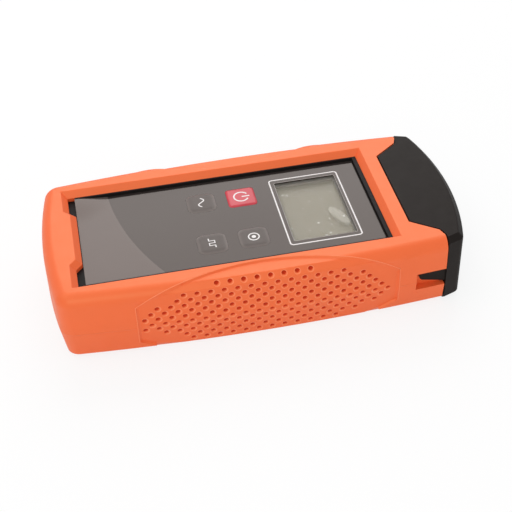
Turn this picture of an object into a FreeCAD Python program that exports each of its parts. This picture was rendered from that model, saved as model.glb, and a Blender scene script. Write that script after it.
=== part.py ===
import FreeCAD, Part
import Sketcher
import math
import os
import re
from FreeCAD import Placement, Rotation, Vector

# Handheld optical laser source: a black case in an orange rubber boot, with keys, a display,
# three cells and an optical port under a pull-off dust cap.
# Lengths are in mm. X runs from the tail to the nose, Z is up, and the origin is below the middle.

doc = FreeCAD.newDocument("optical_light_source")
sizes = doc.addObject("Spreadsheet::Sheet", "sizes")
places = doc.addObject("Spreadsheet::Sheet", "places")
home = {}


def expr(text):
    """Write the sheet's name before each named value of an expression."""
    return re.sub(r"[a-z][a-z_]*", lambda m: home.get(m.group(0), "") + m.group(0), text)


def place(alias, text):
    """Work out one place or size from others."""
    row = 1 + sum(sheet == "places." for sheet in home.values())
    places.set("A%d" % row, alias)
    places.set("B%d" % row, "=" + expr(text))
    places.setAlias("B%d" % row, alias)
    home[alias] = "places."


def val(alias):
    """Read a named value as a number."""
    sheet = sizes if home[alias] == "sizes." else places
    return float(getattr(sheet, alias))


# Driving sizes, by group
driving = {
    # Clearances shared by pieces that fit together
    "slip": 0.15,
    "boot_fit": 0.2,
    # Boot outside
    "boot_width": 85.8,
    "parting_height": 14.5,
    "side_bow_radius": 900,
    "side_bow_offset": 5,
    "tail_bow_radius": 200,
    "tail_corner_radius": 7,
    "top_draft": 0.3,
    "bottom_draft": 2.0,
    "shoulder_radius": 5,
    "foot_chamfer": 2.2,
    "boot_wall": 4.0,
    "boot_floor": 2.8,
    "rim_thickness": 4.2,
    "window_setback": 12.9,
    "window_length": 129,
    "window_side_land": 13.6,
    "window_chamfer": 2.5,
    "tongue_reach": 2.7,
    "tongue_tip_width": 31.4,
    "tongue_slant": 3.0,
    "front_land": 19.9,
    "head_notch_depth": 11.8,
    "head_notch_side_land": 11.2,
    "head_notch_slant": 7.9,
    "head_notch_step": 1.3,
    "arm_slot_length": 12.8,
    "arm_slot_height": 8.8,
    # Grips in the boot's sides
    "grip_depth": 0.8,
    "grip_half_length": 54,
    "grip_arc_radius": 128,
    "grip_arc_offset": -1.5,
    "grip_rim_gap": 0.8,
    "grip_end_height": 8,
    "grip_low_radius": 150,
    "dimple_pitch": 5.43,
    "dimple_row_pitch": 2.75,
    "dimple_offset": 0.5,
    "dimple_radius": 0.95,
    "dimple_depth": 1.0,
    "dimple_margin": 4.8,
    "dimple_end_margin": 2.6,
    "dimple_top_row": 52,
    "flat_columns": 7,
    "shoulder_flat": 2.5,
    # Dust cap
    "nose_reach": 13.2,
    "cap_wall": 2.2,
    "cap_gap": 0.6,
    "cap_side_gap": 0.6,
    "cap_side_inset": 3.7,
    "cap_taper": 2.3,
    "cap_arc_radius": 120,
    "cap_edge_chamfer": 2.2,
    "cap_corner_radius": 3.0,
    "arm_height": 7.2,
    "arm_tip_height": 5.0,
    "arm_thickness": 1.3,
    "arm_tip_gap": 2.0,
    "arm_tip_radius": 2.2,
    # Case
    "case_wall": 2.0,
    "case_edge_chamfer": 2.4,
    "front_setback": 0.8,
    "boss_radius": 3.5,
    "boss_setback": 13.4,
    "tail_boss_reach": 19.5,
    "head_boss_reach": 11.5,
    "case_screw_radius": 1.25,
    "case_screw_head_radius": 2.6,
    "case_screw_head_height": 1.8,
    "case_screw_sink": 3.0,
    "case_screw_length": 15,
    "screw_fit": 0.05,
    "screw_end_gap": 1.0,
    # Cells and their bay
    "cell_radius": 7.25,
    "cell_length": 49.2,
    "cell_nub_radius": 2.7,
    "cell_nub_length": 1.3,
    "cell_gap": 0.5,
    "cell_clearance": 0.25,
    "bay_setback": 11.5,
    "bay_wall": 1.5,
    "bay_ledge": 1.0,
    "bay_roof_thickness": 0.9,
    "contact_thickness": 0.4,
    "contact_width": 9,
    "contact_height": 10,
    "spring_room": 3.0,
    "door_thickness": 1.6,
    "door_window_margin": 1.0,
    "hinge_pin_radius": 0.5,
    "hinge_pin_length": 0.9,
    "hinge_clearance": 0.08,
    # Board, display and keys
    "board_gap": 0.35,
    "board_thickness": 1.6,
    "board_inset": 8.9,
    "board_tail_margin": 10.6,
    "board_head_margin": 24.6,
    "board_boss_radius": 3.0,
    "board_screw_inset": 4.0,
    "board_screw_radius": 0.9,
    "board_screw_head_radius": 1.9,
    "board_screw_head_height": 1.3,
    "board_screw_length": 4.6,
    "holder_thickness": 2.3,
    "lcd_thickness": 1.8,
    "lcd_length": 34,
    "lcd_width": 50,
    "strip_width": 2.0,
    "display_setback": 26.0,
    "view_length": 26.8,
    "view_width": 40.2,
    "pane_margin": 1.8,
    "pane_thickness": 1.0,
    "overlay_thickness": 0.5,
    "overlay_side_gap": 0.9,
    "overlay_tail_gap": 0.3,
    "overlay_head_gap": 2.0,
    "key_size": 12.4,
    "key_corner": 1.4,
    "key_side_margin": 14.5,
    "key_column_pitch": 17.5,
    "key_to_display": 29.3,
    "key_crown": 0.5,
    "key_flange": 0.9,
    "key_flange_thickness": 0.6,
    "key_plunger_radius": 1.5,
    "key_travel": 0.5,
    "switch_size": 6.0,
    "switch_height": 1.8,
    "switch_button_radius": 1.6,
    "switch_button_height": 0.6,
    # Optical port
    "adapter_flange": 12.7,
    "adapter_flange_thickness": 1.6,
    "adapter_barrel_radius": 4.0,
    "adapter_barrel_length": 8.6,
    "adapter_rear_radius": 4.2,
    "adapter_rear_length": 7.5,
    "adapter_mouth_radius": 3.2,
    "adapter_mouth_depth": 6.5,
    "adapter_core_radius": 2.3,
    "adapter_core_setback": 1.5,
    "adapter_key_width": 2.2,
    "adapter_key_depth": 4.0,
    "adapter_screw_offset": 4.6,
    "adapter_screw_radius": 0.9,
    "adapter_screw_head_radius": 1.5,
    "adapter_screw_head_height": 1.1,
    "ferrule_radius": 1.25,
    "sleeve_wall": 0.35,
    "sleeve_fit": 0.05,
    "sleeve_length": 11,
    "sleeve_slit": 0.4,
    "laser_radius": 4.5,
    "laser_length": 11,
    "laser_can_radius": 2.8,
    "laser_can_length": 4.5,
    "flex_thickness": 0.3,
    "flex_width": 5,
    "chip_height": 1.4,
    "controller_size": 10,
    "driver_length": 6,
    "driver_width": 5,
}
for row, (alias, number) in enumerate(driving.items(), 1):
    sizes.set("A%d" % row, alias)
    sizes.set("B%d" % row, str(number))
    sizes.setAlias("B%d" % row, alias)
    home[alias] = "sizes."

# Heights, stacked from the floor
place("case_bottom", "boot_floor + boot_fit")
place("hinge_axis", "case_bottom + door_thickness / 2")
place("door_top", "case_bottom + door_thickness")
place("ledge_height", "door_top + slip")
place("cell_axis", "ledge_height + cell_clearance + cell_radius")
place("bay_roof", "cell_axis + cell_radius + cell_clearance")
place("bay_roof_top", "bay_roof + bay_roof_thickness")
place("board_bottom", "bay_roof_top + board_gap")
place("board_top", "board_bottom + board_thickness")
place("lcd_bottom", "board_top + holder_thickness")
place("lcd_top", "lcd_bottom + lcd_thickness")
place("plate_under", "lcd_top + slip")
place("case_top", "plate_under + case_wall")
place("overlay_top", "case_top + overlay_thickness")
place("rim_under", "case_top + boot_fit")
place("overall_height", "rim_under + rim_thickness")
place("case_floor", "case_bottom + case_wall")

# Lengths along the body
place("boot_length", "window_setback + window_length + front_land")
place("overall_length", "boot_length + nose_reach")
place("tail_end", "-overall_length / 2")
place("nose_end", "overall_length / 2")
place("boot_front", "tail_end + boot_length")
place("window_tail", "tail_end + window_setback")
place("window_head", "window_tail + window_length")
place("case_front", "boot_front - front_setback")
place("case_front_inner", "case_front - case_wall")
place("overlay_tail", "window_tail + tongue_reach + overlay_tail_gap")
place("overlay_head", "window_head - overlay_head_gap")
place("display_place", "window_head - display_setback")
place("key_head_place", "display_place - key_to_display")
place("key_tail_place", "key_head_place - key_column_pitch")
place("board_tail", "key_tail_place - board_tail_margin")
place("board_head", "display_place + board_head_margin")
place("bay_tail", "tail_end + bay_setback")
place("plate_room", "contact_thickness + slip / 2")
place("bay_length", "cell_length + cell_nub_length + plate_room + spring_room")
place("bay_head", "bay_tail + bay_length")
place("socket_radius", "(hinge_pin_radius + hinge_clearance) / cos(22.5)")
place("hinge_place", "bay_head + bay_ledge - 2 * slip - door_thickness / 2")

# Widths and insets
place("half_width", "boot_width / 2")
place("window_width", "boot_width - 2 * window_side_land")
place("overlay_width", "window_width - 2 * overlay_side_gap")
place("notch_outer_half", "half_width - head_notch_side_land")
place("notch_inner_half", "notch_outer_half - head_notch_slant")
place("cap_rear_half", "half_width - cap_side_inset")
place("cap_front_half", "cap_rear_half - cap_taper")
place("board_width", "boot_width - 2 * board_inset")
place("case_inset", "boot_wall + boot_fit")
place("case_inner_inset", "case_inset + case_wall")
place("grip_top", "overall_height - grip_depth")
place("grip_shoulder", "shoulder_radius - grip_depth")
place("cell_pitch", "2 * cell_radius + cell_gap")
place("bay_half_width", "cell_pitch + cell_radius + cell_clearance")
place("key_row_place", "overlay_width / 2 - key_side_margin")
place("boss_place", "half_width - boss_setback")
place("tail_boss_place", "tail_end + tail_boss_reach")
place("head_boss_place", "case_front - head_boss_reach")
place("board_screw_place", "board_width / 2 - board_screw_inset")
place("board_screw_tail", "board_tail + board_screw_inset")
place("board_screw_head", "board_head - board_screw_inset")
place("arm_gap", "boot_fit + slip")
place("cap_rear", "boot_front + cap_side_gap")
place("arm_tip_place", "boot_front - arm_slot_length + arm_tip_gap")
place("arm_bow", "sqrt((side_bow_radius - case_inset)^2 - (arm_tip_place - side_bow_offset)^2)")
place("arm_inner", "half_width - side_bow_radius + arm_bow + arm_gap")
place("tongue_under", "case_top + arm_gap")
place("flange_top", "plate_under - slip")
place("flange_under", "flange_top - key_flange_thickness")
place("case_screw_neck", "case_bottom + case_screw_sink")
place("case_screw_end", "case_screw_neck + case_screw_length")
place("switch_top", "board_top + switch_height + switch_button_height")
place("plunger_end", "switch_top + key_travel + slip / 3")
place("sleeve_radius", "ferrule_radius + sleeve_wall")
place("adapter_bore", "sleeve_radius + sleeve_fit")
place("adapter_front", "case_front + adapter_flange_thickness + adapter_barrel_length")
place("adapter_rear", "case_front - adapter_rear_length")
place("sleeve_front", "adapter_front - adapter_core_setback - slip")
place("laser_tail", "adapter_rear - laser_length - laser_can_length")
doc.recompute()


def bind(obj, **cells):
    """Bind properties of an object to expressions of named values."""
    for name, text in cells.items():
        obj.setExpression(name.replace("__", "."), expr(text))
    return obj


def at(obj, x="0", y="0", z="0"):
    """Bind the place of an object."""
    return bind(obj, Placement__Base__x=x, Placement__Base__y=y, Placement__Base__z=z)


def box(name, x, y, z):
    """A block between pairs of expressions."""
    obj = doc.addObject("Part::Box", name)
    bind(obj, Length="(%s) - (%s)" % (x[1], x[0]), Width="(%s) - (%s)" % (y[1], y[0]))
    bind(obj, Height="(%s) - (%s)" % (z[1], z[0]))
    return at(obj, x[0], y[0], z[0])


def aim(obj, x, y, z, along):
    """Point an upright object along an axis and bind its place."""
    if along == "X":
        obj.Placement = Placement(Vector(), Rotation(Vector(0, 1, 0), 90))
    if along == "Y":
        obj.Placement = Placement(Vector(), Rotation(Vector(1, 0, 0), -90))
    return at(obj, x, y, z)


def rod(name, radius, length, x="0", y="0", z="0", along="Z"):
    """A cylinder along an axis that starts at a place."""
    obj = doc.addObject("Part::Cylinder", name)
    bind(obj, Radius=radius, Height=length)
    return aim(obj, x, y, z, along)


def stud(name, radius, length, x="0", y="0", z="0", along="Z", sides=8):
    """A rod with flat sides, for screws, their holes and other small round pieces inside."""
    obj = doc.addObject("Part::Prism", name)
    obj.Polygon = sides
    bind(obj, Circumradius=radius, Height=length)
    return aim(obj, x, y, z, along)


def fuse(name, pieces):
    obj = doc.addObject("Part::MultiFuse", name)
    obj.Shapes = pieces
    return obj


def cut(name, base, tools):
    """Cut each tool from the base in turn; the last cut has the name."""
    for count, tool in enumerate(tools, 1):
        obj = doc.addObject("Part::Cut", name if count == len(tools) else name + "_step")
        obj.Base = base
        obj.Tool = tool
        base = obj
    return base


def group(name, pieces):
    """Equal small pieces kept together in one node."""
    obj = doc.addObject("Part::Compound", name)
    obj.Links = pieces
    return obj


def new_body(name):
    return doc.addObject("PartDesign::Body", name)


def base_plane(body, role):
    return next(f for f in body.Origin.OriginFeatures if f.Role == role)


def sketch_on(body, name, role, offset="0"):
    """A sketch on one of the body's own planes, lifted along its normal."""
    sketch = body.newObject("Sketcher::SketchObject", name)
    sketch.AttachmentSupport = [(base_plane(body, role), "")]
    sketch.MapMode = "FlatFace"
    sketch.setExpression("AttachmentOffset.Base.z", expr(offset))
    return sketch


def loop(sketch, curves, radii=()):
    """Add a closed loop of curves, joined end to start, with some radii bound to the sheet."""
    first = sketch.GeometryCount
    for curve in curves:
        sketch.addGeometry(curve)
    for index in range(len(curves)):
        following = first + (index + 1) % len(curves)
        sketch.addConstraint(Sketcher.Constraint("Coincident", first + index, 2, following, 1))
    for index, text in radii:
        radius = curves[index].Radius
        number = sketch.addConstraint(Sketcher.Constraint("Radius", first + index, radius))
        sketch.setExpression("Constraints[%d]" % number, expr(text))


def polygon(sketch, points):
    ends = points[1:] + points[:1]
    loop(sketch, [Part.LineSegment(Vector(*a, 0), Vector(*b, 0)) for a, b in zip(points, ends)])


def rectangle(sketch, left, right, low, high):
    polygon(sketch, [(left, low), (right, low), (right, high), (left, high)])


def arc(centre, radius, start, end):
    """An arc drawn anticlockwise about a centre between two points."""
    first = math.atan2(start[1] - centre[1], start[0] - centre[0])
    last = math.atan2(end[1] - centre[1], end[0] - centre[0])
    if last < first:
        last += 2 * math.pi
    ring = Part.Circle(Vector(*centre, 0), Vector(0, 0, 1), radius)
    return Part.ArcOfCircle(ring, first, last)


def clipped(sketch, x, y, edge, corner):
    """A square with clipped corners about a place."""
    half = edge / 2
    inner = half - corner
    points = []
    for sx, sy in ((1, -1), (1, 1), (-1, 1), (-1, -1)):
        ends = [(x + sx * half, y + sy * inner), (x + sx * inner, y + sy * half)]
        points += ends if sx * sy > 0 else ends[::-1]
    polygon(sketch, points)


def pad(body, sketch, length, back=False):
    feature = body.newObject("PartDesign::Pad", sketch.Name + "_pad")
    feature.Profile = sketch
    feature.Reversed = back
    return bind(feature, Length=length)


def pocket(body, sketch, length, up=False):
    feature = body.newObject("PartDesign::Pocket", sketch.Name + "_pocket")
    feature.Profile = sketch
    feature.Reversed = up
    return bind(feature, Length=length)


def edges_of(feature, test):
    """Names of the edges whose middle, ends and length pass a test."""
    names = []
    for number, edge in enumerate(feature.Shape.Edges, 1):
        if test(edge):
            names.append("Edge%d" % number)
    return names


def soften(body, kind, name, feature, names, text):
    """Round or bevel edges of a feature."""
    obj = body.newObject("PartDesign::" + kind, name)
    obj.Base = (feature, names)
    return bind(obj, **({"Radius": text} if kind == "Fillet" else {"Size": text}))


def level(edge, height):
    """Whether an edge lies at a height."""
    return abs(edge.BoundBox.ZMin - height) < 0.01 and abs(edge.BoundBox.ZMax - height) < 0.01


def middle(edge):
    return edge.valueAt((edge.FirstParameter + edge.LastParameter) / 2)


def meet(one, one_radius, two, two_radius):
    """The upper left crossing of two circles."""
    gap = math.dist(one, two)
    along = (gap ** 2 + one_radius ** 2 - two_radius ** 2) / (2 * gap)
    across = math.sqrt(one_radius ** 2 - along ** 2)
    ux, uy = (two[0] - one[0]) / gap, (two[1] - one[1]) / gap
    base = (one[0] + ux * along, one[1] + uy * along)
    return max([(base[0] - uy * across * s, base[1] + ux * across * s) for s in (1, -1)],
               key=lambda point: point[1])


def toward(centre, point, radius):
    gap = math.dist(centre, point)
    return tuple(c + (p - c) * radius / gap for c, p in zip(centre, point))


def flip(point):
    return (point[0], -point[1])


def side(x, inset=0):
    """Half of the boot's width at the parting line, less an inset."""
    bow = val("side_bow_radius")
    return val("half_width") - bow + math.sqrt((bow - inset) ** 2 - (x - val("side_bow_offset")) ** 2)


def outline(sketch, front, inset, round_front=False):
    """The body's plan: bowed sides, a bowed tail with round corners and a straight front."""
    depth = val(inset) if inset else 0
    bow, tail, corner = val("side_bow_radius"), val("tail_bow_radius"), val("tail_corner_radius")
    side_at = (val("side_bow_offset"), val("half_width") - bow)
    tail_at = (val("tail_end") + tail, 0)
    corner_at = meet(side_at, bow - corner, tail_at, tail - corner)
    turn = toward(side_at, corner_at, bow - depth)
    end = toward(tail_at, corner_at, tail - depth)
    head = (front, side(front, depth))
    stop = head
    nose_at = (front - corner, side(front - corner, corner))
    if round_front:
        head = (front - depth, nose_at[1])
        stop = toward(side_at, nose_at, bow - depth)
    curves = [Part.LineSegment(Vector(*flip(head), 0), Vector(*head, 0))]
    if round_front:
        curves.append(arc(nose_at, corner - depth, head, stop))
    curves.append(arc(side_at, bow - depth, stop, turn))
    curves.append(arc(corner_at, corner - depth, turn, end))
    curves.append(arc(tail_at, tail - depth, end, flip(end)))
    curves.append(arc(flip(corner_at), corner - depth, flip(end), flip(turn)))
    curves.append(arc(flip(side_at), bow - depth, flip(turn), flip(stop)))
    if round_front:
        curves.append(arc(flip(nose_at), corner - depth, flip(stop), flip(head)))
    less = " - " + inset if inset else ""
    first = 2 if round_front else 1
    radii = [(first, "side_bow_radius" + less), (first + 1, "tail_corner_radius" + less)]
    radii += [(first + 2, "tail_bow_radius" + less), (first + 3, "tail_corner_radius" + less)]
    loop(sketch, curves, radii)


def envelope(name, inset, top, shoulder):
    """The boot's rounded outside, or the same shape at the depth of its grips.

    The walls lean in from the parting line, upwards and downwards, and their ends are round."""
    body = new_body(name)
    parting = body.newObject("PartDesign::Plane", name + "_parting")
    parting.AttachmentSupport = [(base_plane(body, "XY_Plane"), "")]
    parting.MapMode = "FlatFace"
    parting.setExpression("AttachmentOffset.Base.z", expr("parting_height"))
    beyond = val("boot_front") + 2 * val("tail_corner_radius")
    split = val("parting_height")
    upper = ("upper", top + " - parting_height", "top_draft", split, val(top))
    lower = ("lower", "parting_height", "bottom_draft", 0, split)
    for part, length, lean, low, high in (upper, lower):
        sketch = sketch_on(body, "%s_%s" % (name, part), "XY_Plane", "parting_height")
        outline(sketch, beyond, inset, True)
        block = pad(body, sketch, length, back=part == "lower")
        doc.recompute()
        walls = []
        for number, face in enumerate(block.Shape.Faces, 1):
            span = face.BoundBox
            if span.ZMin > low - 0.01 and span.ZMax < high + 0.01 and span.ZLength > 1:
                walls.append("Face%d" % number)
        draft = body.newObject("PartDesign::Draft", "%s_%s_draft" % (name, part))
        draft.Base = (block, walls)
        draft.NeutralPlane = (parting, [""])
        draft.Reversed = part == "lower"
        bind(draft, Angle="atan(%s / (%s))" % (lean, length))
        doc.recompute()
    upper = edges_of(draft, lambda e: level(e, val(top)))
    rounded_top = soften(body, "Fillet", name + "_shoulder", draft, upper, shoulder)
    doc.recompute()
    lower = edges_of(rounded_top, lambda e: level(e, 0))
    soften(body, "Chamfer", name + "_foot", rounded_top, lower, "foot_chamfer")
    sketch = sketch_on(body, name + "_front", "XY_Plane", top)
    wide = val("boot_width")
    rectangle(sketch, val("boot_front"), beyond + 5, -wide, wide)
    pocket(body, sketch, top)
    doc.recompute()
    return body


# Protective boot: one moulding in orange rubber with a deep window, an open head and two side grips
boot = envelope("boot_outside", None, "overall_height", "shoulder_radius")

sketch = sketch_on(boot, "window", "XY_Plane", "overall_height")
half = val("window_width") / 2
tip = val("tongue_tip_width") / 2
base = tip + val("tongue_slant")
tail, head, reach = val("window_tail"), val("window_head"), val("tongue_reach")
points = [(head, -half), (head, half), (tail, half), (tail, base), (tail + reach, tip)]
points += [(tail + reach, -tip), (tail, -base), (tail, -half)]
polygon(sketch, points)
window = pocket(boot, sketch, "rim_thickness + boot_fit")
doc.recompute()
inside = half + 0.01
rim = edges_of(window, lambda e: level(e, val("overall_height")) and abs(middle(e).y) < inside
               and tail - 0.01 < middle(e).x < head + 0.01)
soften(boot, "Chamfer", "window_bevel", window, rim, "window_chamfer")

sketch = sketch_on(boot, "head_notch", "XY_Plane", "overall_height")
front = val("boot_front")
notch = [(front - val("head_notch_depth"), val("notch_inner_half"))]
notch.append((front - val("head_notch_step"), val("notch_outer_half")))
notch.append((front, side(front) - val("shoulder_radius")))
beyond = [(front + 5, notch[-1][1])]
polygon(sketch, [flip(p) for p in notch + beyond] + [p for p in (notch + beyond)[::-1]])
pocket(boot, sketch, "rim_thickness + boot_fit")

sketch = sketch_on(boot, "arm_slots", "XZ_Plane", "half_width + boot_wall")
slot = val("arm_slot_height") / 2
rectangle(sketch, front - val("arm_slot_length"), front + 5, val("parting_height") - slot,
          val("parting_height") + slot)
pocket(boot, sketch, "2 * half_width + 2 * boot_wall")

sketch = sketch_on(boot, "battery_window", "XY_Plane", "boot_floor + boot_fit")
margin = val("bay_ledge") + val("door_window_margin")
rectangle(sketch, val("bay_tail") - margin, val("bay_head") + margin, -val("bay_half_width") - margin,
          val("bay_half_width") + margin)
pocket(boot, sketch, "boot_floor + boot_fit")

cavity = new_body("case_room")
sketch = sketch_on(cavity, "case_room_plan", "XY_Plane", "boot_floor")
outline(sketch, front + 5, "boot_wall")
room = pad(cavity, sketch, "rim_under - boot_floor")
doc.recompute()
lower = edges_of(room, lambda e: level(e, val("boot_floor")) and middle(e).x < front)
soften(cavity, "Chamfer", "case_room_bevel", room, lower, "case_edge_chamfer")


slope = math.sqrt(0.5)
leaf_end = val("grip_half_length")
window_edge = val("window_width") / 2 + val("window_chamfer") + val("grip_rim_gap")
leaf_peak = slope * (val("overall_height") - window_edge)
leaf_low = slope * (val("grip_end_height") - val("half_width") + val("grip_depth"))
leaf_top_at = (val("grip_arc_offset"), leaf_peak - val("grip_arc_radius"))
leaf_low_at = (0, leaf_low + math.sqrt(val("grip_low_radius") ** 2 - leaf_end ** 2))
half_pitch = val("dimple_pitch") / 2
upper_lean = val("top_draft") / (val("grip_top") - val("parting_height"))
lower_lean = val("bottom_draft") / val("parting_height")
bevel_leg = val("grip_shoulder") * (2 - math.sqrt(2))
bevel_round = (bevel_leg / slope - val("shoulder_flat")) / (2 * math.tan(math.pi / 8))
wall_top = val("grip_top") - bevel_leg - bevel_round * math.tan(math.pi / 8)


def grip_block():
    """A leaf-shaped block that looks at the boot's shoulder from 45 degrees."""
    body = new_body("grip_block")
    sketch = sketch_on(body, "grip_leaf", "XZ_Plane")
    sketch.AttachmentOffset = Placement(Vector(), Rotation(Vector(1, 0, 0), -45))
    radius, low_radius = val("grip_arc_radius"), val("grip_low_radius")
    ends = []
    for x in (leaf_end, -leaf_end):
        ends.append((x, leaf_top_at[1] + math.sqrt(radius ** 2 - (x - leaf_top_at[0]) ** 2)))
    right, left = ends
    curves = [Part.LineSegment(Vector(leaf_end, leaf_low, 0), Vector(*right, 0))]
    curves.append(arc(leaf_top_at, radius, right, left))
    curves.append(Part.LineSegment(Vector(*left, 0), Vector(-leaf_end, leaf_low, 0)))
    curves.append(arc(leaf_low_at, low_radius, (-leaf_end, leaf_low), (leaf_end, leaf_low)))
    loop(sketch, curves, [(1, "grip_arc_radius"), (3, "grip_low_radius")])
    pad(body, sketch, "boot_width")
    return body


def grip_section(number, x):
    """The boot's section at a place along it, sunk by the grip's depth.

    Two leaning walls meet at the parting line, and a rounded bevel makes the shoulder."""
    sketch = doc.addObject("Sketcher::SketchObject", "grip_section_%d" % number)
    facing = Rotation(Vector(0, -1, 0), Vector(0, 0, 1), Vector(-1, 0, 0), "ZXY")
    sketch.Placement = Placement(Vector(x, 0, 0), facing)
    out = side(x, val("grip_depth"))
    split, top = val("parting_height"), val("grip_top")
    low = -val("foot_chamfer")
    foot = (out - lower_lean * (split - low), low)
    shoulder = (out - upper_lean * (wall_top - split), wall_top)
    low_at = (shoulder[0] - bevel_round, wall_top)
    bevel_start = (low_at[0] + bevel_round * slope, low_at[1] + bevel_round * slope)
    drop = val("shoulder_flat") * slope
    bevel_end = (bevel_start[0] - drop, bevel_start[1] + drop)
    high_at = (bevel_end[0] - bevel_round * slope, bevel_end[1] - bevel_round * slope)
    flat_start = (high_at[0], top)
    points = [(0, low), foot, (out, split), shoulder]
    curves = [Part.LineSegment(Vector(*a, 0), Vector(*b, 0)) for a, b in zip(points, points[1:])]
    curves.append(arc(low_at, bevel_round, shoulder, bevel_start))
    curves.append(Part.LineSegment(Vector(*bevel_start, 0), Vector(*bevel_end, 0)))
    curves.append(arc(high_at, bevel_round, bevel_end, flat_start))
    curves.append(Part.LineSegment(Vector(*flat_start, 0), Vector(0, top, 0)))
    curves.append(Part.LineSegment(Vector(0, top, 0), Vector(0, low, 0)))
    loop(sketch, curves)
    return sketch


def dimple_spots():
    """Places and directions of the near grip's dimples.

    The rows are staggered: most lie on the wall, and the last on the shoulder."""
    spots = []
    split, radius = val("parting_height"), val("dimple_radius")
    low_rows = int((split - val("foot_chamfer")) / val("dimple_row_pitch"))
    high_rows = int((wall_top - radius - split) / val("dimple_row_pitch"))
    columns = int(leaf_end / half_pitch) + 1
    for row in range(-low_rows, high_rows + 2):
        reach = leaf_end - val("dimple_end_margin")
        if row > high_rows:
            reach = min(reach, val("dimple_top_row") / 2)
        for column in range(-columns, columns + 1):
            x = val("dimple_offset") + column * half_pitch
            if (row + column) % 2 or abs(x) > reach:
                continue
            out = side(x, val("grip_depth"))
            run = row * val("dimple_row_pitch")
            if row > high_rows:
                lean = 1
                sink = bevel_leg / 2
                spot = (out - val("top_draft") - sink, val("grip_top") - sink)
            else:
                lean = upper_lean if run > 0 else -lower_lean
                spot = (out - lean * run, split + run)
            seen = (x, slope * (spot[1] - spot[0]))
            if math.dist(seen, leaf_top_at) > val("grip_arc_radius") - val("dimple_margin"):
                continue
            if math.dist(seen, leaf_low_at) > val("grip_low_radius") - val("dimple_margin"):
                continue
            along = Vector(0, -1, lean)
            along.normalize()
            spots.append((Vector(x, -spot[0], spot[1]), along))
    return spots


def dimple(spot, along):
    """A four-sided pit, drawn to twice its depth so that it stands clear of the surface that it cuts."""
    depth = val("dimple_depth")
    reach = 2 * val("dimple_radius")
    across = Vector(1, 0, 0)
    up = along.cross(across)
    rim = []
    for number in range(4):
        angle = number * math.pi / 2
        rim.append(spot + along * depth + across * (reach * math.cos(angle)) + up * (reach * math.sin(angle)))
    bottom = spot - along * depth
    faces = [Part.Face(Part.makePolygon(rim + rim[:1]))]
    for one, two in zip(rim, rim[1:] + rim[:1]):
        faces.append(Part.Face(Part.makePolygon([one, two, bottom, one])))
    return Part.makeSolid(Part.makeShell(faces))


dimples = doc.addObject("Part::Feature", "dimples")
dimples.Shape = Part.makeCompound([dimple(spot, along) for spot, along in dimple_spots()])
flat_step = val("flat_columns") * half_pitch
flat_count = int(leaf_end / flat_step) + 2
sections = []
for number in range(-flat_count, flat_count + 1):
    between = val("dimple_offset") + half_pitch / 2 + number * flat_step
    sections.append(grip_section(number + flat_count, between))
grip_floor = doc.addObject("Part::Loft", "grip_floor")
grip_floor.Sections = sections
grip_floor.Solid = True
grip_floor.Ruled = True
near_tool = cut("grip_near", grip_block(), [cut("dimpled_floor", grip_floor, [dimples])])
far_tool = doc.addObject("Part::Mirroring", "grip_far")
far_tool.Source = near_tool
far_tool.Normal = Vector(0, 1, 0)
cut("protective_boot", boot, [cavity, group("grips", [near_tool, far_tool])])


def case_half(name, bottom, height):
    """One half of the case, as a solid block of the case's plan."""
    body = new_body(name)
    sketch = sketch_on(body, name + "_plan", "XY_Plane", bottom)
    outline(sketch, val("case_front"), "case_inset")
    return body, pad(body, sketch, height)


def bosses(body, name, height, spots, radius):
    """A sketch with one eight-sided outline at each place."""
    sketch = sketch_on(body, name, "XY_Plane", height)
    for x, y in spots:
        corners = []
        for number in range(8):
            angle = number * math.pi / 4
            corners.append((x + radius * math.cos(angle), y + radius * math.sin(angle)))
        polygon(sketch, corners)
    return sketch


def pairs(tail_place, head_place, row_place):
    """Four places: two along the body, each on both sides."""
    return [(val(x), s * val(row_place)) for x in (tail_place, head_place) for s in (1, -1)]


screw_spots = pairs("tail_boss_place", "head_boss_place", "boss_place")
board_spots = pairs("board_screw_tail", "board_screw_head", "board_screw_place")
key_spots = pairs("key_tail_place", "key_head_place", "key_row_place")

# Front case: black moulding with the key and display openings and the bosses for board and screws
front_body = case_half("front_shell", "parting_height", "case_top - parting_height")[0]
sketch = sketch_on(front_body, "front_room", "XY_Plane", "parting_height")
outline(sketch, val("case_front_inner"), "case_inner_inset")
pocket(front_body, sketch, "plate_under - parting_height", up=True)
sketch = bosses(front_body, "front_bosses", "parting_height", screw_spots, val("boss_radius"))
pad(front_body, sketch, "plate_under - parting_height")
pilot = val("case_screw_radius") + val("screw_fit")
sketch = bosses(front_body, "front_pilots", "parting_height", screw_spots, pilot)
pocket(front_body, sketch, "case_screw_end + screw_end_gap - parting_height", up=True)
sketch = bosses(front_body, "board_bosses", "board_top", board_spots, val("board_boss_radius"))
pad(front_body, sketch, "plate_under - board_top")
pilot = val("board_screw_radius") + val("screw_fit")
sketch = bosses(front_body, "board_pilots", "board_top", board_spots, pilot)
pocket(front_body, sketch, "board_screw_length - board_thickness + slip", up=True)
sketch = sketch_on(front_body, "key_holes", "XY_Plane", "case_top")
opening = val("key_size") + 2 * val("slip")
for x, y in key_spots:
    rectangle(sketch, x - opening / 2, x + opening / 2, y - opening / 2, y + opening / 2)
pocket(front_body, sketch, "case_wall")
sketch = sketch_on(front_body, "pane_seat", "XY_Plane", "case_top")
pane_x = val("view_length") + 2 * val("pane_margin")
pane_y = val("view_width") + 2 * val("pane_margin")
spread = val("display_place")
gap = val("slip")
rectangle(sketch, spread - pane_x / 2 - gap, spread + pane_x / 2 + gap, -pane_y / 2 - gap, pane_y / 2 + gap)
pocket(front_body, sketch, "pane_thickness")
sketch = sketch_on(front_body, "view_hole", "XY_Plane", "case_top")
rectangle(sketch, spread - val("view_length") / 2, spread + val("view_length") / 2, -val("view_width") / 2,
          val("view_width") / 2)
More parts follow.
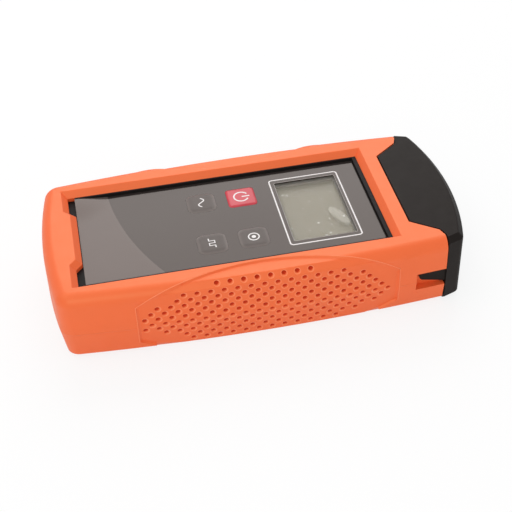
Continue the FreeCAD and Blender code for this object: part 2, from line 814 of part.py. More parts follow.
pocket(front_body, sketch, "case_wall")
port_hole = rod("port_hole", "adapter_rear_radius + slip", "3 * case_wall", "case_front - 2 * case_wall", "0",
                "parting_height", "X")
adapter_pilots = []
for number, sign in enumerate(("", "-")):
    y = sign + "adapter_screw_offset"
    z = "parting_height + " + y
    adapter_pilots.append(stud("adapter_pilot_%d" % number, "adapter_screw_radius + screw_fit",
                               "3 * case_wall", "case_front - 2 * case_wall", y, z, "X"))
cut("front_case", front_body, [port_hole] + adapter_pilots)

# Rear case: black moulding with the cell bay, the screw wells and the sockets of the battery door
rear_body, block = case_half("rear_shell", "case_bottom", "parting_height - case_bottom")
doc.recompute()
lower = edges_of(block, lambda e: level(e, val("case_bottom")) and middle(e).x < val("case_front") - 0.5)
soften(rear_body, "Chamfer", "rear_bevel", block, lower, "case_edge_chamfer")
sketch = sketch_on(rear_body, "rear_room", "XY_Plane", "case_bottom + case_edge_chamfer + case_wall / 2")
outline(sketch, val("case_front_inner"), "case_inner_inset")
pocket(rear_body, sketch, "parting_height - case_bottom", up=True)
sketch = bosses(rear_body, "rear_bosses", "case_floor", screw_spots, val("boss_radius"))
pad(rear_body, sketch, "parting_height - case_floor")
sketch = sketch_on(rear_body, "bay_block", "XY_Plane", "case_floor")
thick = val("bay_wall")
wide = val("bay_half_width")
rectangle(sketch, val("bay_tail") - thick, val("bay_head") + thick, -wide - thick, wide + thick)
pad(rear_body, sketch, "bay_roof_top - case_floor")
sketch = sketch_on(rear_body, "bay_room", "XY_Plane", "case_bottom")
rectangle(sketch, val("bay_tail"), val("bay_head"), -wide, wide)
pocket(rear_body, sketch, "bay_roof - case_bottom", up=True)
sketch = sketch_on(rear_body, "door_seat", "XY_Plane", "case_bottom")
ledge = val("bay_ledge")
rectangle(sketch, val("bay_tail") - ledge, val("bay_head") + ledge, -wide - ledge, wide + ledge)
pocket(rear_body, sketch, "ledge_height - case_bottom", up=True)
well = val("case_screw_head_radius") + val("slip")
sketch = bosses(rear_body, "screw_wells", "case_bottom", screw_spots, well)
pocket(rear_body, sketch, "case_screw_sink", up=True)
passage = val("case_screw_radius") + val("slip")
sketch = bosses(rear_body, "screw_ways", "case_bottom", screw_spots, passage)
pocket(rear_body, sketch, "parting_height - case_bottom", up=True)
socket = stud("hinge_socket", "socket_radius", "2 * bay_half_width + 2 * bay_ledge + 2 * hinge_pin_length",
              "hinge_place", "-bay_half_width - bay_ledge - hinge_pin_length", "hinge_axis", "Y")
cut("rear_case", rear_body, [port_hole, adapter_pilots[1], socket])

# Battery door: black plate with a rounded hinge edge, two pins and a thumb groove
door_edge = "(bay_half_width + bay_ledge - slip)"
plate = box("door_plate", ("bay_tail - bay_ledge + slip", "hinge_place"), ("-" + door_edge, door_edge),
            ("case_bottom", "door_top"))
roll = rod("door_roll", "door_thickness / 2", "2 * " + door_edge, "hinge_place", "-" + door_edge,
           "hinge_axis", "Y")
pin = stud("door_pin", "hinge_pin_radius", "2 * %s + 2 * hinge_pin_length" % door_edge, "hinge_place",
           "-%s - hinge_pin_length" % door_edge, "hinge_axis", "Y")
grooves = []
for number in range(4):
    start = "bay_tail + %d * contact_height / 4" % (2 + number)
    grooves.append(box("thumb_groove_%d" % number, (start, start + " + contact_height / 8"),
                       ("-cell_radius", "cell_radius"), ("case_bottom", "case_bottom + door_thickness / 4")))
cut("battery_door", fuse("door_whole", [plate, roll, pin]), grooves)

# Cells: three of the usual round size, side by side, the middle one turned round
cell_rows = (("cell_left", "cell_pitch", 0), ("cell_middle", "0", 1), ("cell_right", "-cell_pitch", 0))
for name, row, turned in cell_rows:
    if turned:
        can_start = "bay_tail + plate_room + cell_nub_length"
        nub_start = "bay_tail + plate_room"
    else:
        can_start = "bay_head - plate_room - cell_nub_length - cell_length"
        nub_start = "bay_head - plate_room - cell_nub_length"
    can = stud(name + "_can", "cell_radius", "cell_length", can_start, row, "cell_axis", "X", 24)
    nub = stud(name + "_nub", "cell_nub_radius", "cell_nub_length", nub_start, row, "cell_axis", "X")
    fuse(name, [can, nub])

# Contacts: a flat plate at each plus end and a bent leaf at each minus end
flats = []
leaves = []
for number, (cell, row, turned) in enumerate(cell_rows):
    across = (row + " - contact_width / 2", row + " + contact_width / 2")
    upright = ("cell_axis - contact_height / 2", "cell_axis + contact_height / 2")
    head_x = ("bay_head - contact_thickness", "bay_head")
    tail_x = ("bay_tail", "bay_tail + contact_thickness")
    flats.append(box("flat_%d" % number, tail_x if turned else head_x, across, upright))
    foot = box("leaf_foot_%d" % number, head_x if turned else tail_x, across, upright)
    leaf = doc.addObject("Part::Wedge", "leaf_%d" % number)
    turn = -1 if turned else 1
    bind(leaf, Xmin="0", Xmax="contact_width / 2", Ymin="0", Ymax="contact_height / 2")
    bind(leaf, Zmin="0", Zmax="spring_room - slip / 2 - contact_thickness / 2")
    bind(leaf, X2min="0", X2max="contact_width / 2", Z2min="spring_room - slip / 2 - contact_thickness")
    bind(leaf, Z2max="spring_room - slip / 2 - contact_thickness / 2")
    facing = Rotation(Vector(0, turn, 0), Vector(0, 0, 1), Vector(turn, 0, 0), "ZXY")
    leaf.Placement = Placement(Vector(), facing)
    start = "bay_head - contact_thickness / 2" if turned else "bay_tail + contact_thickness / 2"
    shift = row + (" + contact_width / 4" if turned else " - contact_width / 4")
    at(leaf, start, shift, "cell_axis - contact_height / 4")
    leaves.append(fuse("spring_leaf_%d" % number, [foot, leaf]))
group("plate_contacts", flats)
group("spring_contacts", leaves)

# Case screws: four, from below, each with a plain round head
case_screws = []
for number, x in enumerate(("tail_boss_place", "head_boss_place")):
    for sign in ("", "-"):
        name = "case_screw_%d%s" % (number, "a" if sign else "b")
        y = sign + "boss_place"
        head = stud(name + "_head", "case_screw_head_radius", "case_screw_head_height", x, y,
                    "case_screw_neck - case_screw_head_height")
        shank = stud(name + "_shank", "case_screw_radius", "case_screw_length", x, y, "case_screw_neck")
        case_screws.append(fuse(name, [head, shank]))
group("case_screws", case_screws)

# Main board with holes for its screws, and the parts on it
board = box("board_plate", ("board_tail", "board_head"), ("-board_width / 2", "board_width / 2"),
            ("board_bottom", "board_top"))
holes = []
board_screws = []
for number, x in enumerate(("board_screw_tail", "board_screw_head")):
    for sign in ("", "-"):
        name = "board_screw_%d%s" % (number, "a" if sign else "b")
        y = sign + "board_screw_place"
        holes.append(stud(name + "_hole", "board_screw_radius + slip", "3 * board_thickness", x, y,
                          "board_bottom - board_thickness"))
        head = stud(name + "_head", "board_screw_head_radius", "board_screw_head_height", x, y,
                    "board_bottom - board_screw_head_height")
        shank = stud(name + "_shank", "board_screw_radius", "board_screw_length", x, y, "board_bottom")
        board_screws.append(fuse(name, [head, shank]))
cut("main_board", board, holes)
group("board_screws", board_screws)
switches = []
for number, x in enumerate(("key_tail_place", "key_head_place")):
    for sign in ("", "-"):
        name = "switch_%d%s" % (number, "a" if sign else "b")
        y = sign + "key_row_place"
        along = (x + " - switch_size / 2", x + " + switch_size / 2")
        across = (y + " - switch_size / 2", y + " + switch_size / 2")
        base = box(name + "_base", along, across, ("board_top", "board_top + switch_height"))
        button = stud(name + "_button", "switch_button_radius", "switch_top - board_top", x, y, "board_top")
        switches.append(fuse(name, [base, button]))
group("key_switches", switches)
box("controller_chip", ("display_place - controller_size", "display_place"),
    ("controller_size / 2", "controller_size * 3 / 2"), ("board_bottom - chip_height", "board_bottom"))
box("laser_driver_chip", ("display_place + driver_length", "display_place + 2 * driver_length"),
    ("-3 * driver_width", "-2 * driver_width"), ("board_bottom - chip_height", "board_bottom"))

# Display: glass panel on a white holder, joined to the board by a rubber contact strip
glass_x = ("display_place - lcd_length / 2", "display_place + lcd_length / 2")
glass_y = ("-lcd_width / 2", "lcd_width / 2")
box("lcd_panel", glass_x, glass_y, ("lcd_bottom", "lcd_top"))
strip_place = "(display_place + lcd_length / 2 - strip_width)"
strip_x = (strip_place + " - strip_width / 2", strip_place + " + strip_width / 2")
strip_end = "(view_width / 2)"
box("contact_strip", strip_x, ("-" + strip_end, strip_end), ("board_top", "lcd_bottom"))
holder = box("holder_block", glass_x, glass_y, ("board_top", "lcd_bottom"))
channel = box("holder_channel", (strip_x[0] + " - slip", strip_x[1] + " + slip"),
              ("-%s - slip" % strip_end, strip_end + " + slip"), ("board_top - slip", "lcd_bottom + slip"))
cut("lcd_holder", holder, [channel])
pane_half_x = "(view_length / 2 + pane_margin)"
pane_half_y = "(view_width / 2 + pane_margin)"
box("display_window", ("display_place - " + pane_half_x, "display_place + " + pane_half_x),
    ("-" + pane_half_y, pane_half_y), ("case_top - pane_thickness", "case_top"))

# Graphic overlay: a printed film with cut-outs for the keys and the display
film = new_body("graphic_overlay")
sketch = sketch_on(film, "film_plan", "XY_Plane", "case_top")
film_half = val("overlay_width") / 2
rectangle(sketch, val("overlay_tail"), val("overlay_head"), -film_half, film_half)
for x, y in key_spots:
    clipped(sketch, x, y, opening, val("key_corner"))
view_x, view_y = val("view_length") / 2, val("view_width") / 2
rectangle(sketch, spread - view_x, spread + view_x, -view_y, view_y)
pad(film, sketch, "overlay_thickness")


def key(name, x, y):
    """A key cap with a flange below the case's plate and a plunger over its switch."""
    body = new_body(name)
    sketch = sketch_on(body, name + "_cap", "XY_Plane", "flange_top - slip")
    edge = val("key_size")
    clipped(sketch, 0, 0, edge, val("key_corner"))
    cap = pad(body, sketch, "overlay_top + key_crown - flange_top + slip")
    doc.recompute()
    crown = edges_of(cap, lambda e: level(e, val("overlay_top") + val("key_crown")))
    soften(body, "Chamfer", name + "_crown", cap, crown, "key_crown")
    sketch = sketch_on(body, name + "_flange", "XY_Plane", "flange_under")
    wide = edge / 2 + val("key_flange")
    rectangle(sketch, -wide, wide, -wide, wide)
    pad(body, sketch, "key_flange_thickness")
    sketch = bosses(body, name + "_plunger", "flange_under", [(0, 0)], val("key_plunger_radius"))
    pad(body, sketch, "flange_under - plunger_end", back=True)
    at(body, x, y)


key("wavelength_key", "key_tail_place", "key_row_place")
key("power_key", "key_head_place", "key_row_place")
key("mode_key", "key_tail_place", "-key_row_place")
key("identify_key", "key_head_place", "-key_row_place")

# Optical port: a flanged threaded adapter with a core tube, seated on the front wall
flange = box("adapter_plate", ("case_front", "case_front + adapter_flange_thickness"),
             ("-adapter_flange / 2", "adapter_flange / 2"),
             ("parting_height - adapter_flange / 2", "parting_height + adapter_flange / 2"))
barrel = rod("adapter_barrel", "adapter_barrel_radius", "adapter_front - case_front", "case_front", "0",
             "parting_height", "X")
stem = stud("adapter_stem", "adapter_rear_radius", "adapter_rear_length", "adapter_rear", "0",
            "parting_height", "X", 16)
mouth = stud("adapter_mouth", "adapter_mouth_radius", "adapter_mouth_depth + slip",
             "adapter_front - adapter_mouth_depth", "0", "parting_height", "X", 24)
core = stud("adapter_core", "adapter_core_radius", "adapter_mouth_depth - adapter_core_setback + slip",
            "adapter_front - adapter_mouth_depth - slip", "0", "parting_height", "X", 24)
bore = rod("adapter_bore_way", "adapter_bore", "adapter_front - adapter_rear + 2 * slip",
           "adapter_rear - slip", "0", "parting_height", "X")
keyway = box("adapter_keyway", ("adapter_front - adapter_key_depth", "adapter_front + slip"),
             ("-adapter_key_width / 2", "adapter_key_width / 2"),
             ("parting_height + adapter_core_radius + slip", "parting_height + adapter_barrel_radius + slip"))
ways = []
adapter_screws = []
for number, sign in enumerate(("", "-")):
    y = sign + "adapter_screw_offset"
    z = "parting_height + " + sign + "adapter_screw_offset"
    ways.append(stud("adapter_way_%d" % number, "adapter_screw_radius + slip", "2 * adapter_flange_thickness",
                     "case_front - slip", y, z, "X"))
    head = stud("adapter_screw_head_%d" % number, "adapter_screw_head_radius", "adapter_screw_head_height",
                "case_front + adapter_flange_thickness", y, z, "X")
    shank = stud("adapter_screw_shank_%d" % number, "adapter_screw_radius",
                 "adapter_flange_thickness + case_wall", "case_front - case_wall", y, z, "X")
    adapter_screws.append(fuse("adapter_screw_%d" % number, [head, shank]))
shell = cut("adapter_shell", fuse("adapter_blank", [flange, barrel, stem]), [mouth, keyway] + ways)
cut("optical_adapter", fuse("adapter_whole", [shell, core]), [bore])
group("adapter_screws", adapter_screws)
tube = rod("sleeve_tube", "sleeve_radius", "sleeve_length", "sleeve_front - sleeve_length", "0",
           "parting_height", "X")
way = rod("sleeve_way", "ferrule_radius", "sleeve_length + 2 * slip",
          "sleeve_front - sleeve_length - slip", "0", "parting_height", "X")
slit = box("sleeve_gap", ("sleeve_front - sleeve_length - slip", "sleeve_front + slip"),
           ("-sleeve_slit / 2", "sleeve_slit / 2"), ("parting_height - 2 * sleeve_radius", "parting_height"))
cut("ferrule_sleeve", tube, [way, slit])

# Laser module behind the port, with a flexible strip up to the board
housing = stud("laser_housing", "laser_radius", "laser_length", "adapter_rear - laser_length", "0",
               "parting_height", "X", 16)
can = stud("laser_can", "laser_can_radius", "laser_can_length", "laser_tail", "0", "parting_height", "X", 16)
fuse("laser_module", [housing, can])
box("laser_flex", ("laser_tail - flex_thickness", "laser_tail"), ("-flex_width / 2", "flex_width / 2"),
    ("parting_height - laser_can_radius / 2", "board_bottom"))


def parallel(points, distance):
    """An open line of points moved to its left by a distance."""
    lines = []
    for (ax, ay), (bx, by) in zip(points, points[1:]):
        length = math.hypot(bx - ax, by - ay)
        nx, ny = -(by - ay) / length * distance, (bx - ax) / length * distance
        lines.append(((ax + nx, ay + ny), (bx + nx, by + ny)))
    moved = [lines[0][0]]
    for (a, b), (c, d) in zip(lines, lines[1:]):
        ux, uy, vx, vy = b[0] - a[0], b[1] - a[1], d[0] - c[0], d[1] - c[1]
        t = ((c[0] - a[0]) * vy - (c[1] - a[1]) * vx) / (ux * vy - uy * vx)
        moved.append((a[0] + ux * t, a[1] + uy * t))
    return moved + [lines[-1][1]]


# Dust cap: black hollow cap over the nose, with a tongue in the boot's notch and two side arms
cap = new_body("dust_cap")
arc_radius = val("cap_arc_radius")
front_half = val("cap_front_half")
rear_half = val("cap_rear_half")
arc_at = (val("nose_end") - arc_radius, 0)
corner_x = arc_at[0] + math.sqrt(arc_radius ** 2 - front_half ** 2)
edge_line = [flip(p) for p in notch[::-1]] + notch
tongue_line = parallel(edge_line, -val("cap_gap"))
rear = (val("cap_rear"), rear_half)
nose = (corner_x, front_half)
chain = [nose, rear] + tongue_line[::-1] + [flip(rear), flip(nose)]
sketch = sketch_on(cap, "cap_plan", "XY_Plane")
curves = [Part.LineSegment(Vector(*a, 0), Vector(*b, 0)) for a, b in zip(chain, chain[1:])]
curves.append(arc(arc_at, arc_radius, flip(nose), nose))
loop(sketch, curves, [(len(curves) - 1, "cap_arc_radius")])
block = pad(cap, sketch, "overall_height")
doc.recompute()
corners = edges_of(block, lambda e: abs(middle(e).x - corner_x) < 0.01
                   and abs(abs(middle(e).y) - front_half) < 0.01)
turned = soften(cap, "Fillet", "cap_corners", block, corners, "cap_corner_radius")
doc.recompute()
outer = edges_of(turned, lambda e: (level(e, 0) or level(e, val("overall_height")))
                 and middle(e).x > val("cap_rear") + 0.2)
soften(cap, "Chamfer", "cap_edges", turned, outer, "cap_edge_chamfer")
sketch = sketch_on(cap, "cap_rear_cut", "XY_Plane")
rectangle(sketch, tail, val("cap_rear"), -2 * rear_half, 2 * rear_half)
pocket(cap, sketch, "tongue_under", up=True)
sketch = sketch_on(cap, "cap_room", "XY_Plane", "cap_wall")
wall = val("cap_wall")
inner_line = parallel(chain, wall)
inner_radius = arc_radius - wall
reach_y = front_half - wall
inner_nose = (arc_at[0] + math.sqrt(inner_radius ** 2 - reach_y ** 2), reach_y)
inner_chain = [inner_nose] + inner_line[1:-1] + [flip(inner_nose)]
curves = [Part.LineSegment(Vector(*a, 0), Vector(*b, 0)) for a, b in zip(inner_chain, inner_chain[1:])]
curves.append(arc(arc_at, inner_radius, flip(inner_nose), inner_nose))
loop(sketch, curves, [(len(curves) - 1, "cap_arc_radius - cap_wall")])
pocket(cap, sketch, "overall_height - 2 * cap_wall", up=True)
tip_x = val("arm_tip_place")
arm_top = val("parting_height") + val("arm_height") / 2
arm_low = val("parting_height") - val("arm_height") / 2
tip_low = arm_top - val("arm_tip_height")
for name, start in (("near_arm", "arm_inner"), ("far_arm", "-arm_inner - arm_thickness")):
    sketch = sketch_on(cap, name, "XZ_Plane", start)
    round_tip = val("arm_tip_radius")
    root = val("cap_rear") + val("cap_side_gap")
    curves = [Part.LineSegment(Vector(root, arm_low, 0), Vector(root, arm_top, 0))]
    curves.append(Part.LineSegment(Vector(root, arm_top, 0), Vector(tip_x + round_tip, arm_top, 0)))
    curves.append(arc((tip_x + round_tip, arm_top - round_tip), round_tip, (tip_x + round_tip, arm_top),
                      (tip_x, arm_top - round_tip)))
    tip_ends = [(tip_x, arm_top - round_tip), (tip_x, tip_low + round_tip)]
    curves.append(Part.LineSegment(Vector(*tip_ends[0], 0), Vector(*tip_ends[1], 0)))
    curves.append(arc((tip_x + round_tip, tip_low + round_tip), round_tip, (tip_x, tip_low + round_tip),
                      (tip_x + round_tip, tip_low)))
    curves.append(Part.LineSegment(Vector(tip_x + round_tip, tip_low, 0), Vector(root, arm_low, 0)))
    loop(sketch, curves, [(2, "arm_tip_radius"), (4, "arm_tip_radius")])
    pad(cap, sketch, "arm_thickness")

doc.recompute()

nodes = ["protective_boot", "front_case", "rear_case", "battery_door", "case_screws", "dust_cap"]
nodes += ["cell_left", "cell_middle", "cell_right", "plate_contacts", "spring_contacts"]
nodes += ["main_board", "board_screws", "key_switches", "controller_chip", "laser_driver_chip"]
nodes += ["lcd_panel", "contact_strip", "lcd_holder", "display_window", "graphic_overlay"]
nodes += ["wavelength_key", "power_key", "mode_key", "identify_key"]
nodes += ["optical_adapter", "adapter_screws", "ferrule_sleeve", "laser_module", "laser_flex"]

for obj in doc.Objects:
    if "Invalid" in obj.State or "Error" in obj.State:
        raise RuntimeError("%s did not build: %s" % (obj.Name, obj.State))
os.makedirs("parts", exist_ok=True)
for node in nodes:
    obj = doc.getObject(node)
    obj.Label = node
    if obj.Shape.isNull() or not obj.Shape.isValid() or not obj.Shape.Solids:
        raise RuntimeError(node + " has no sound solid")
    obj.Shape.exportStep("parts/%s.step" % node)
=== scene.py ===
import math

import bmesh
import bpy
from mathutils import Matrix, Vector
from mathutils.bvhtree import BVHTree


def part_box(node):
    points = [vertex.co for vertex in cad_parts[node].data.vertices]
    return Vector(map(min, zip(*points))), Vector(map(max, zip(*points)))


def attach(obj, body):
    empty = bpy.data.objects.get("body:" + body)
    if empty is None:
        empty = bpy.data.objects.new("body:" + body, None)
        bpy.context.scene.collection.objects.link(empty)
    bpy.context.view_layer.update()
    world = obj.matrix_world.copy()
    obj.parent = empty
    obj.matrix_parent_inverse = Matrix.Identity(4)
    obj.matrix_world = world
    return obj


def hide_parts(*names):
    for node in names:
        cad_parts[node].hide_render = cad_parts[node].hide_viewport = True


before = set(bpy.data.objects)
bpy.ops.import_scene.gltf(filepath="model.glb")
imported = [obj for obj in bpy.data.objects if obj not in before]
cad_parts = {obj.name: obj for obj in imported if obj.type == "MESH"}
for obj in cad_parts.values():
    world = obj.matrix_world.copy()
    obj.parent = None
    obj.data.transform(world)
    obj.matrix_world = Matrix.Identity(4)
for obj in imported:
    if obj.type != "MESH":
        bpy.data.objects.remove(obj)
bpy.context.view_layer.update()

mm = 0.001

# Rear case: the lower half of the instrument's moulded case, in black plastic with a fine matt skin.
# It sits in the boot, carries the cells and the port, and is screwed to the front case from below.


class Value:
    """A socket of a material's nodes. Maths on it adds Math nodes, and node() adds any other node."""

    def __init__(self, tree, socket):
        self.tree = tree
        self.socket = socket

    def node(self, kind, settings, inputs, output=0):
        """Add a node, set it up, fill or link its sockets and give back one output."""
        made = self.tree.nodes.new(kind)
        for name, setting in settings.items():
            setattr(made, name, setting)
        for key, given in inputs.items():
            if isinstance(given, Value):
                self.tree.links.new(given.socket, made.inputs[key])
            else:
                made.inputs[key].default_value = given
        return Value(self.tree, made.outputs[output])

    def math(self, operation, first, second=0.0):
        """Add a Math node."""
        return self.node("ShaderNodeMath", {"operation": operation}, {0: first, 1: second})

    def __add__(self, other):
        return self.math("ADD", self, other)

    def __radd__(self, other):
        return self.math("ADD", other, self)

    def __sub__(self, other):
        return self.math("SUBTRACT", self, other)

    def __rsub__(self, other):
        return self.math("SUBTRACT", other, self)

    def __mul__(self, other):
        return self.math("MULTIPLY", self, other)

    def __rmul__(self, other):
        return self.math("MULTIPLY", other, self)

    def __truediv__(self, other):
        return self.math("DIVIDE", self, other)

    def __rtruediv__(self, other):
        return self.math("DIVIDE", other, self)

    def __abs__(self):
        return self.math("ABSOLUTE", self)

    def root(self):
        return self.math("SQRT", self)

    def ramp(self, low, high):
        """A smooth step from 0 at low to 1 at high."""
        return self.node("ShaderNodeMapRange", {"interpolation_type": "SMOOTHSTEP"},
                         {"Value": self, "From Min": low, "From Max": high})

    def noise(self, size, detail=2.0):
        """Noise whose blotches are about a size across, read at this place."""
        return self.node("ShaderNodeTexNoise", {}, {"Vector": self, "Scale": 1 / size, "Detail": detail})

    def blend(self, low, high):
        """A colour between two, mixed by this value."""
        return self.node("ShaderNodeMix", {"data_type": "RGBA"}, {0: self, 6: low, 7: high}, 2)

    def axes(self):
        """The three parts of a place."""
        parts = self.node("ShaderNodeSeparateXYZ", {}, {0: self})
        return [Value(self.tree, socket) for socket in parts.socket.node.outputs]


class Finish:
    """A material with one surface shader, whose patterns read the piece's own place."""

    def __init__(self, name, color, roughness, metallic=0.0, **constants):
        self.material = bpy.data.materials.new(name)
        self.material.use_nodes = True
        self.tree = self.material.node_tree
        self.shader = self.tree.nodes["Principled BSDF"]
        self.set("Base Color", (*color, 1.0))
        self.set("Roughness", roughness)
        self.set("Metallic", metallic)
        for socket, number in constants.items():
            self.set(socket.replace("_", " "), number)
        coordinates = self.tree.nodes.new("ShaderNodeTexCoord")
        self.place = Value(self.tree, coordinates.outputs["Object"])

    def set(self, socket, given):
        """Link a value to a socket of the shader, or set a constant on it."""
        if isinstance(given, Value):
            self.tree.links.new(given.socket, self.shader.inputs[socket])
        else:
            self.shader.inputs[socket].default_value = given

    def bump(self, height, depth):
        """Raise the surface by a height from 0 to 1 times a depth in metres."""
        self.set("Normal", height.node("ShaderNodeBump", {}, {"Height": height, "Distance": depth}))


def tint(color, factor):
    """A colour made darker or lighter by a factor, with full alpha."""
    return tuple(min(1.0, part * factor) for part in color) + (1.0,)


def moulded(name, color, roughness, grain=0.35 * mm, depth=0.02 * mm, cloud=0.12, **constants):
    """Plastic or rubber with a fine moulded skin and faint uneven colour and gloss."""
    cloud_size, gloss_size = 14 * mm, 4 * mm
    made = Finish(name, color, roughness, **constants)
    clouds = made.place.noise(cloud_size, 3.0)
    made.set("Base Color", clouds.blend(tint(color, 1 - cloud), tint(color, 1 + cloud)))
    made.set("Roughness", roughness - 0.05 + 0.1 * made.place.noise(gloss_size))
    made.bump(made.place.noise(grain), depth)
    return made


def dress(node, finish):
    """Give a CAD node its material."""
    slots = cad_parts[node].data.materials
    slots.clear()
    slots.append(finish.material)


case_black = moulded("case_black", (0.011, 0.0095, 0.009), 0.5, Specular_IOR_Level=0.11)
dress("rear_case", case_black)

# Battery door: a black moulded lid over the cells that turns on two pins at its head end.
# Its finger ribs stand at the tail end, and its edges are softened by the mould.


def only(piece):
    """Select one piece alone and make it the active one."""
    bpy.ops.object.select_all(action="DESELECT")
    piece.select_set(True)
    bpy.context.view_layer.objects.active = piece


def open_all(piece):
    """Open a piece for editing with all of it selected."""
    only(piece)
    bpy.ops.object.mode_set(mode="EDIT")
    bpy.ops.mesh.select_all(action="SELECT")


def close():
    """Leave edit mode."""
    bpy.ops.object.mode_set(mode="OBJECT")


def merged_copy(node, name):
    """A copy of a CAD node with its loose triangles joined into whole faces."""
    piece = bpy.data.objects.new(name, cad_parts[node].data.copy())
    bpy.context.collection.objects.link(piece)
    piece.data.materials.clear()
    only(piece)
    bpy.ops.mesh.customdata_custom_splitnormals_clear()
    open_all(piece)
    bpy.ops.mesh.remove_doubles(threshold=0.002 * mm)
    close()
    return piece


def whole_flats(piece):
    """Join the triangles of each flat into one face."""
    open_all(piece)
    bpy.ops.mesh.dissolve_limited(angle_limit=math.radians(0.2))
    close()


def settle(piece, kind, **settings):
    """Add a modifier and apply it."""
    only(piece)
    modifier = piece.modifiers.new(kind.lower(), kind)
    for name, setting in settings.items():
        setattr(modifier, name, setting)
    bpy.ops.object.modifier_apply(modifier=modifier.name)


def soften(piece, width, segments=2, angle=25):
    """Round the sharp edges of a piece."""
    settle(piece, "BEVEL", width=width, segments=segments, limit_method="ANGLE",
           angle_limit=math.radians(angle))


def smooth(piece, angle=35):
    """Shade round stretches smooth and keep flats flat."""
    only(piece)
    bpy.ops.object.shade_smooth_by_angle(angle=math.radians(angle))
    settle(piece, "WEIGHTED_NORMAL", keep_sharp=True)


def fit(piece, finish, body, slot, *nodes):
    """Give a piece its material and the body it moves with, and hide the nodes it stands for. The slot is
    not used.
    """
    piece.data.materials.clear()
    piece.data.materials.append(finish.material)
    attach(piece, body)
    if nodes:
        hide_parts(*nodes)


def softened(node, name, width, segments=2):
    """A copy of a CAD node with its flats made whole and its edges rounded."""
    piece = merged_copy(node, name)
    whole_flats(piece)
    soften(piece, width, segments)
    smooth(piece)
    return piece


door_lid = softened("battery_door", "door_lid", 0.25 * mm)
fit(door_lid, case_black, "door", "case_black", "battery_door")

# Three AA cells: steel cans in printed plastic jackets, pushed in from below.
# Flat nickel plates meet their plus ends and bent leaves their minus ends. The middle cell is turned.

jacket_color = (0.02, 0.03, 0.055)
copper_color = (0.5, 0.2, 0.045, 1)
stripe_color = (0.7, 0.68, 0.62, 1)
steel_color = (0.68, 0.67, 0.65, 1)
button_length = 1.7 * mm
band_end = 14 * mm
stripe_end = 14.8 * mm
jacket_end = 50 * mm
print_blur, crimp_blur = 0.1 * mm, 0.05 * mm


def jacketed(name, plus_end, inward):
    """A cell's finish: bare steel ends, a copper band at the plus end and a dark printed jacket."""
    made = Finish(name, jacket_color, 0.28)
    along = (made.place.axes()[0] - plus_end) * inward
    jacket = made.place.noise(10 * mm).blend(tint(jacket_color, 0.85), tint(jacket_color, 1.2))
    past_band = along.ramp(band_end, band_end + print_blur)
    past_stripe = along.ramp(stripe_end, stripe_end + print_blur)
    banded = (1 - past_band).blend(jacket, copper_color)
    lined = (past_band * (1 - past_stripe)).blend(banded, stripe_color)
    past_button = along.ramp(button_length, button_length + crimp_blur)
    past_jacket = along.ramp(jacket_end, jacket_end + crimp_blur)
    steel = 1 - past_button * (1 - past_jacket)
    made.set("Base Color", steel.blend(lined, steel_color))
    made.set("Metallic", steel)
    made.set("Roughness", 0.22 + 0.12 * made.place.noise(3 * mm))
    return made


for node in ("cell_left", "cell_middle", "cell_right"):
    low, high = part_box(node)
    turned = node == "cell_middle"
    jacket = jacketed(node + "_jacket", low.x if turned else high.x, 1 if turned else -1)
    fit(softened(node, node + "_battery", 0.5 * mm, 3), jacket, "instrument", "cell_jacket", node)
contact_metal = Finish("contact_metal", (0.72, 0.69, 0.63), 0.28, 1.0)
contact_metal.set("Roughness", 0.22 + 0.2 * contact_metal.place.noise(0.8 * mm))
for node in ("plate_contacts", "spring_contacts"):
    dress(node, contact_metal)

# Board and what it carries: green laminate with switches, chips and screws, seen by nobody in use.
# The laser module and its amber flex lead run from the board to the optical port.

board_green = moulded("board_green", (0.02, 0.13, 0.05), 0.35, depth=0.008 * mm)
dress("main_board", board_green)
switch_black = moulded("switch_black", (0.025, 0.025, 0.027), 0.5)
dress("key_switches", switch_black)
chip_black = moulded("chip_black", (0.02, 0.02, 0.021), 0.6, grain=0.2 * mm)
dress("controller_chip", chip_black)
dress("laser_driver_chip", chip_black)
screw_steel = Finish("screw_steel", (0.6, 0.6, 0.6), 0.3, 1.0)
screw_steel.set("Roughness", 0.24 + 0.2 * screw_steel.place.noise(0.6 * mm))
for node in ("board_screws", "case_screws"):
    dress(node, screw_steel)
laser_metal = Finish("laser_metal", (0.62, 0.6, 0.56), 0.3, 1.0)
laser_metal.set("Roughness", 0.22 + 0.2 * laser_metal.place.noise(1.2 * mm))
dress("laser_module", laser_metal)
flex_amber = moulded("flex_amber", (0.5, 0.22, 0.04), 0.35, depth=0.005 * mm)
dress("laser_flex", flex_amber)

# Display: a reflective liquid crystal glass in a white holder, on a rubber contact strip.
# Nothing is lit, so the glass shows a warm grey, painted darker towards its far edge as the shade that the
# window's walls cast on it.

holder_white = moulded("holder_white", (0.78, 0.77, 0.74), 0.45)
dress("lcd_holder", holder_white)
strip_rubber = moulded("strip_rubber", (0.45, 0.45, 0.5), 0.6)
dress("contact_strip", strip_rubber)
lcd_color = (0.24, 0.21, 0.147)
lcd_shade_from, lcd_shade_to = 11 * mm, 20 * mm
lcd_grey = Finish("lcd_grey", lcd_color, 0.3, Specular_IOR_Level=0.3)
# painted shade: the glass's colour darkens towards its far edge
lcd_far_shade = lcd_grey.place.axes()[1].ramp(lcd_shade_from, lcd_shade_to)
lcd_cloud = lcd_grey.place.noise(18 * mm).blend(tint(lcd_color, 0.94), tint(lcd_color, 1.05))
lcd_grey.set("Base Color", lcd_far_shade.blend(lcd_cloud, tint(lcd_color, 0.72)))
dress("lcd_panel", lcd_grey)

# Display window: a clear pane let into the front case from above, under the graphic film.
# It is thin, hard coated plastic with dust and a pale oval mark left on its protective sheet.

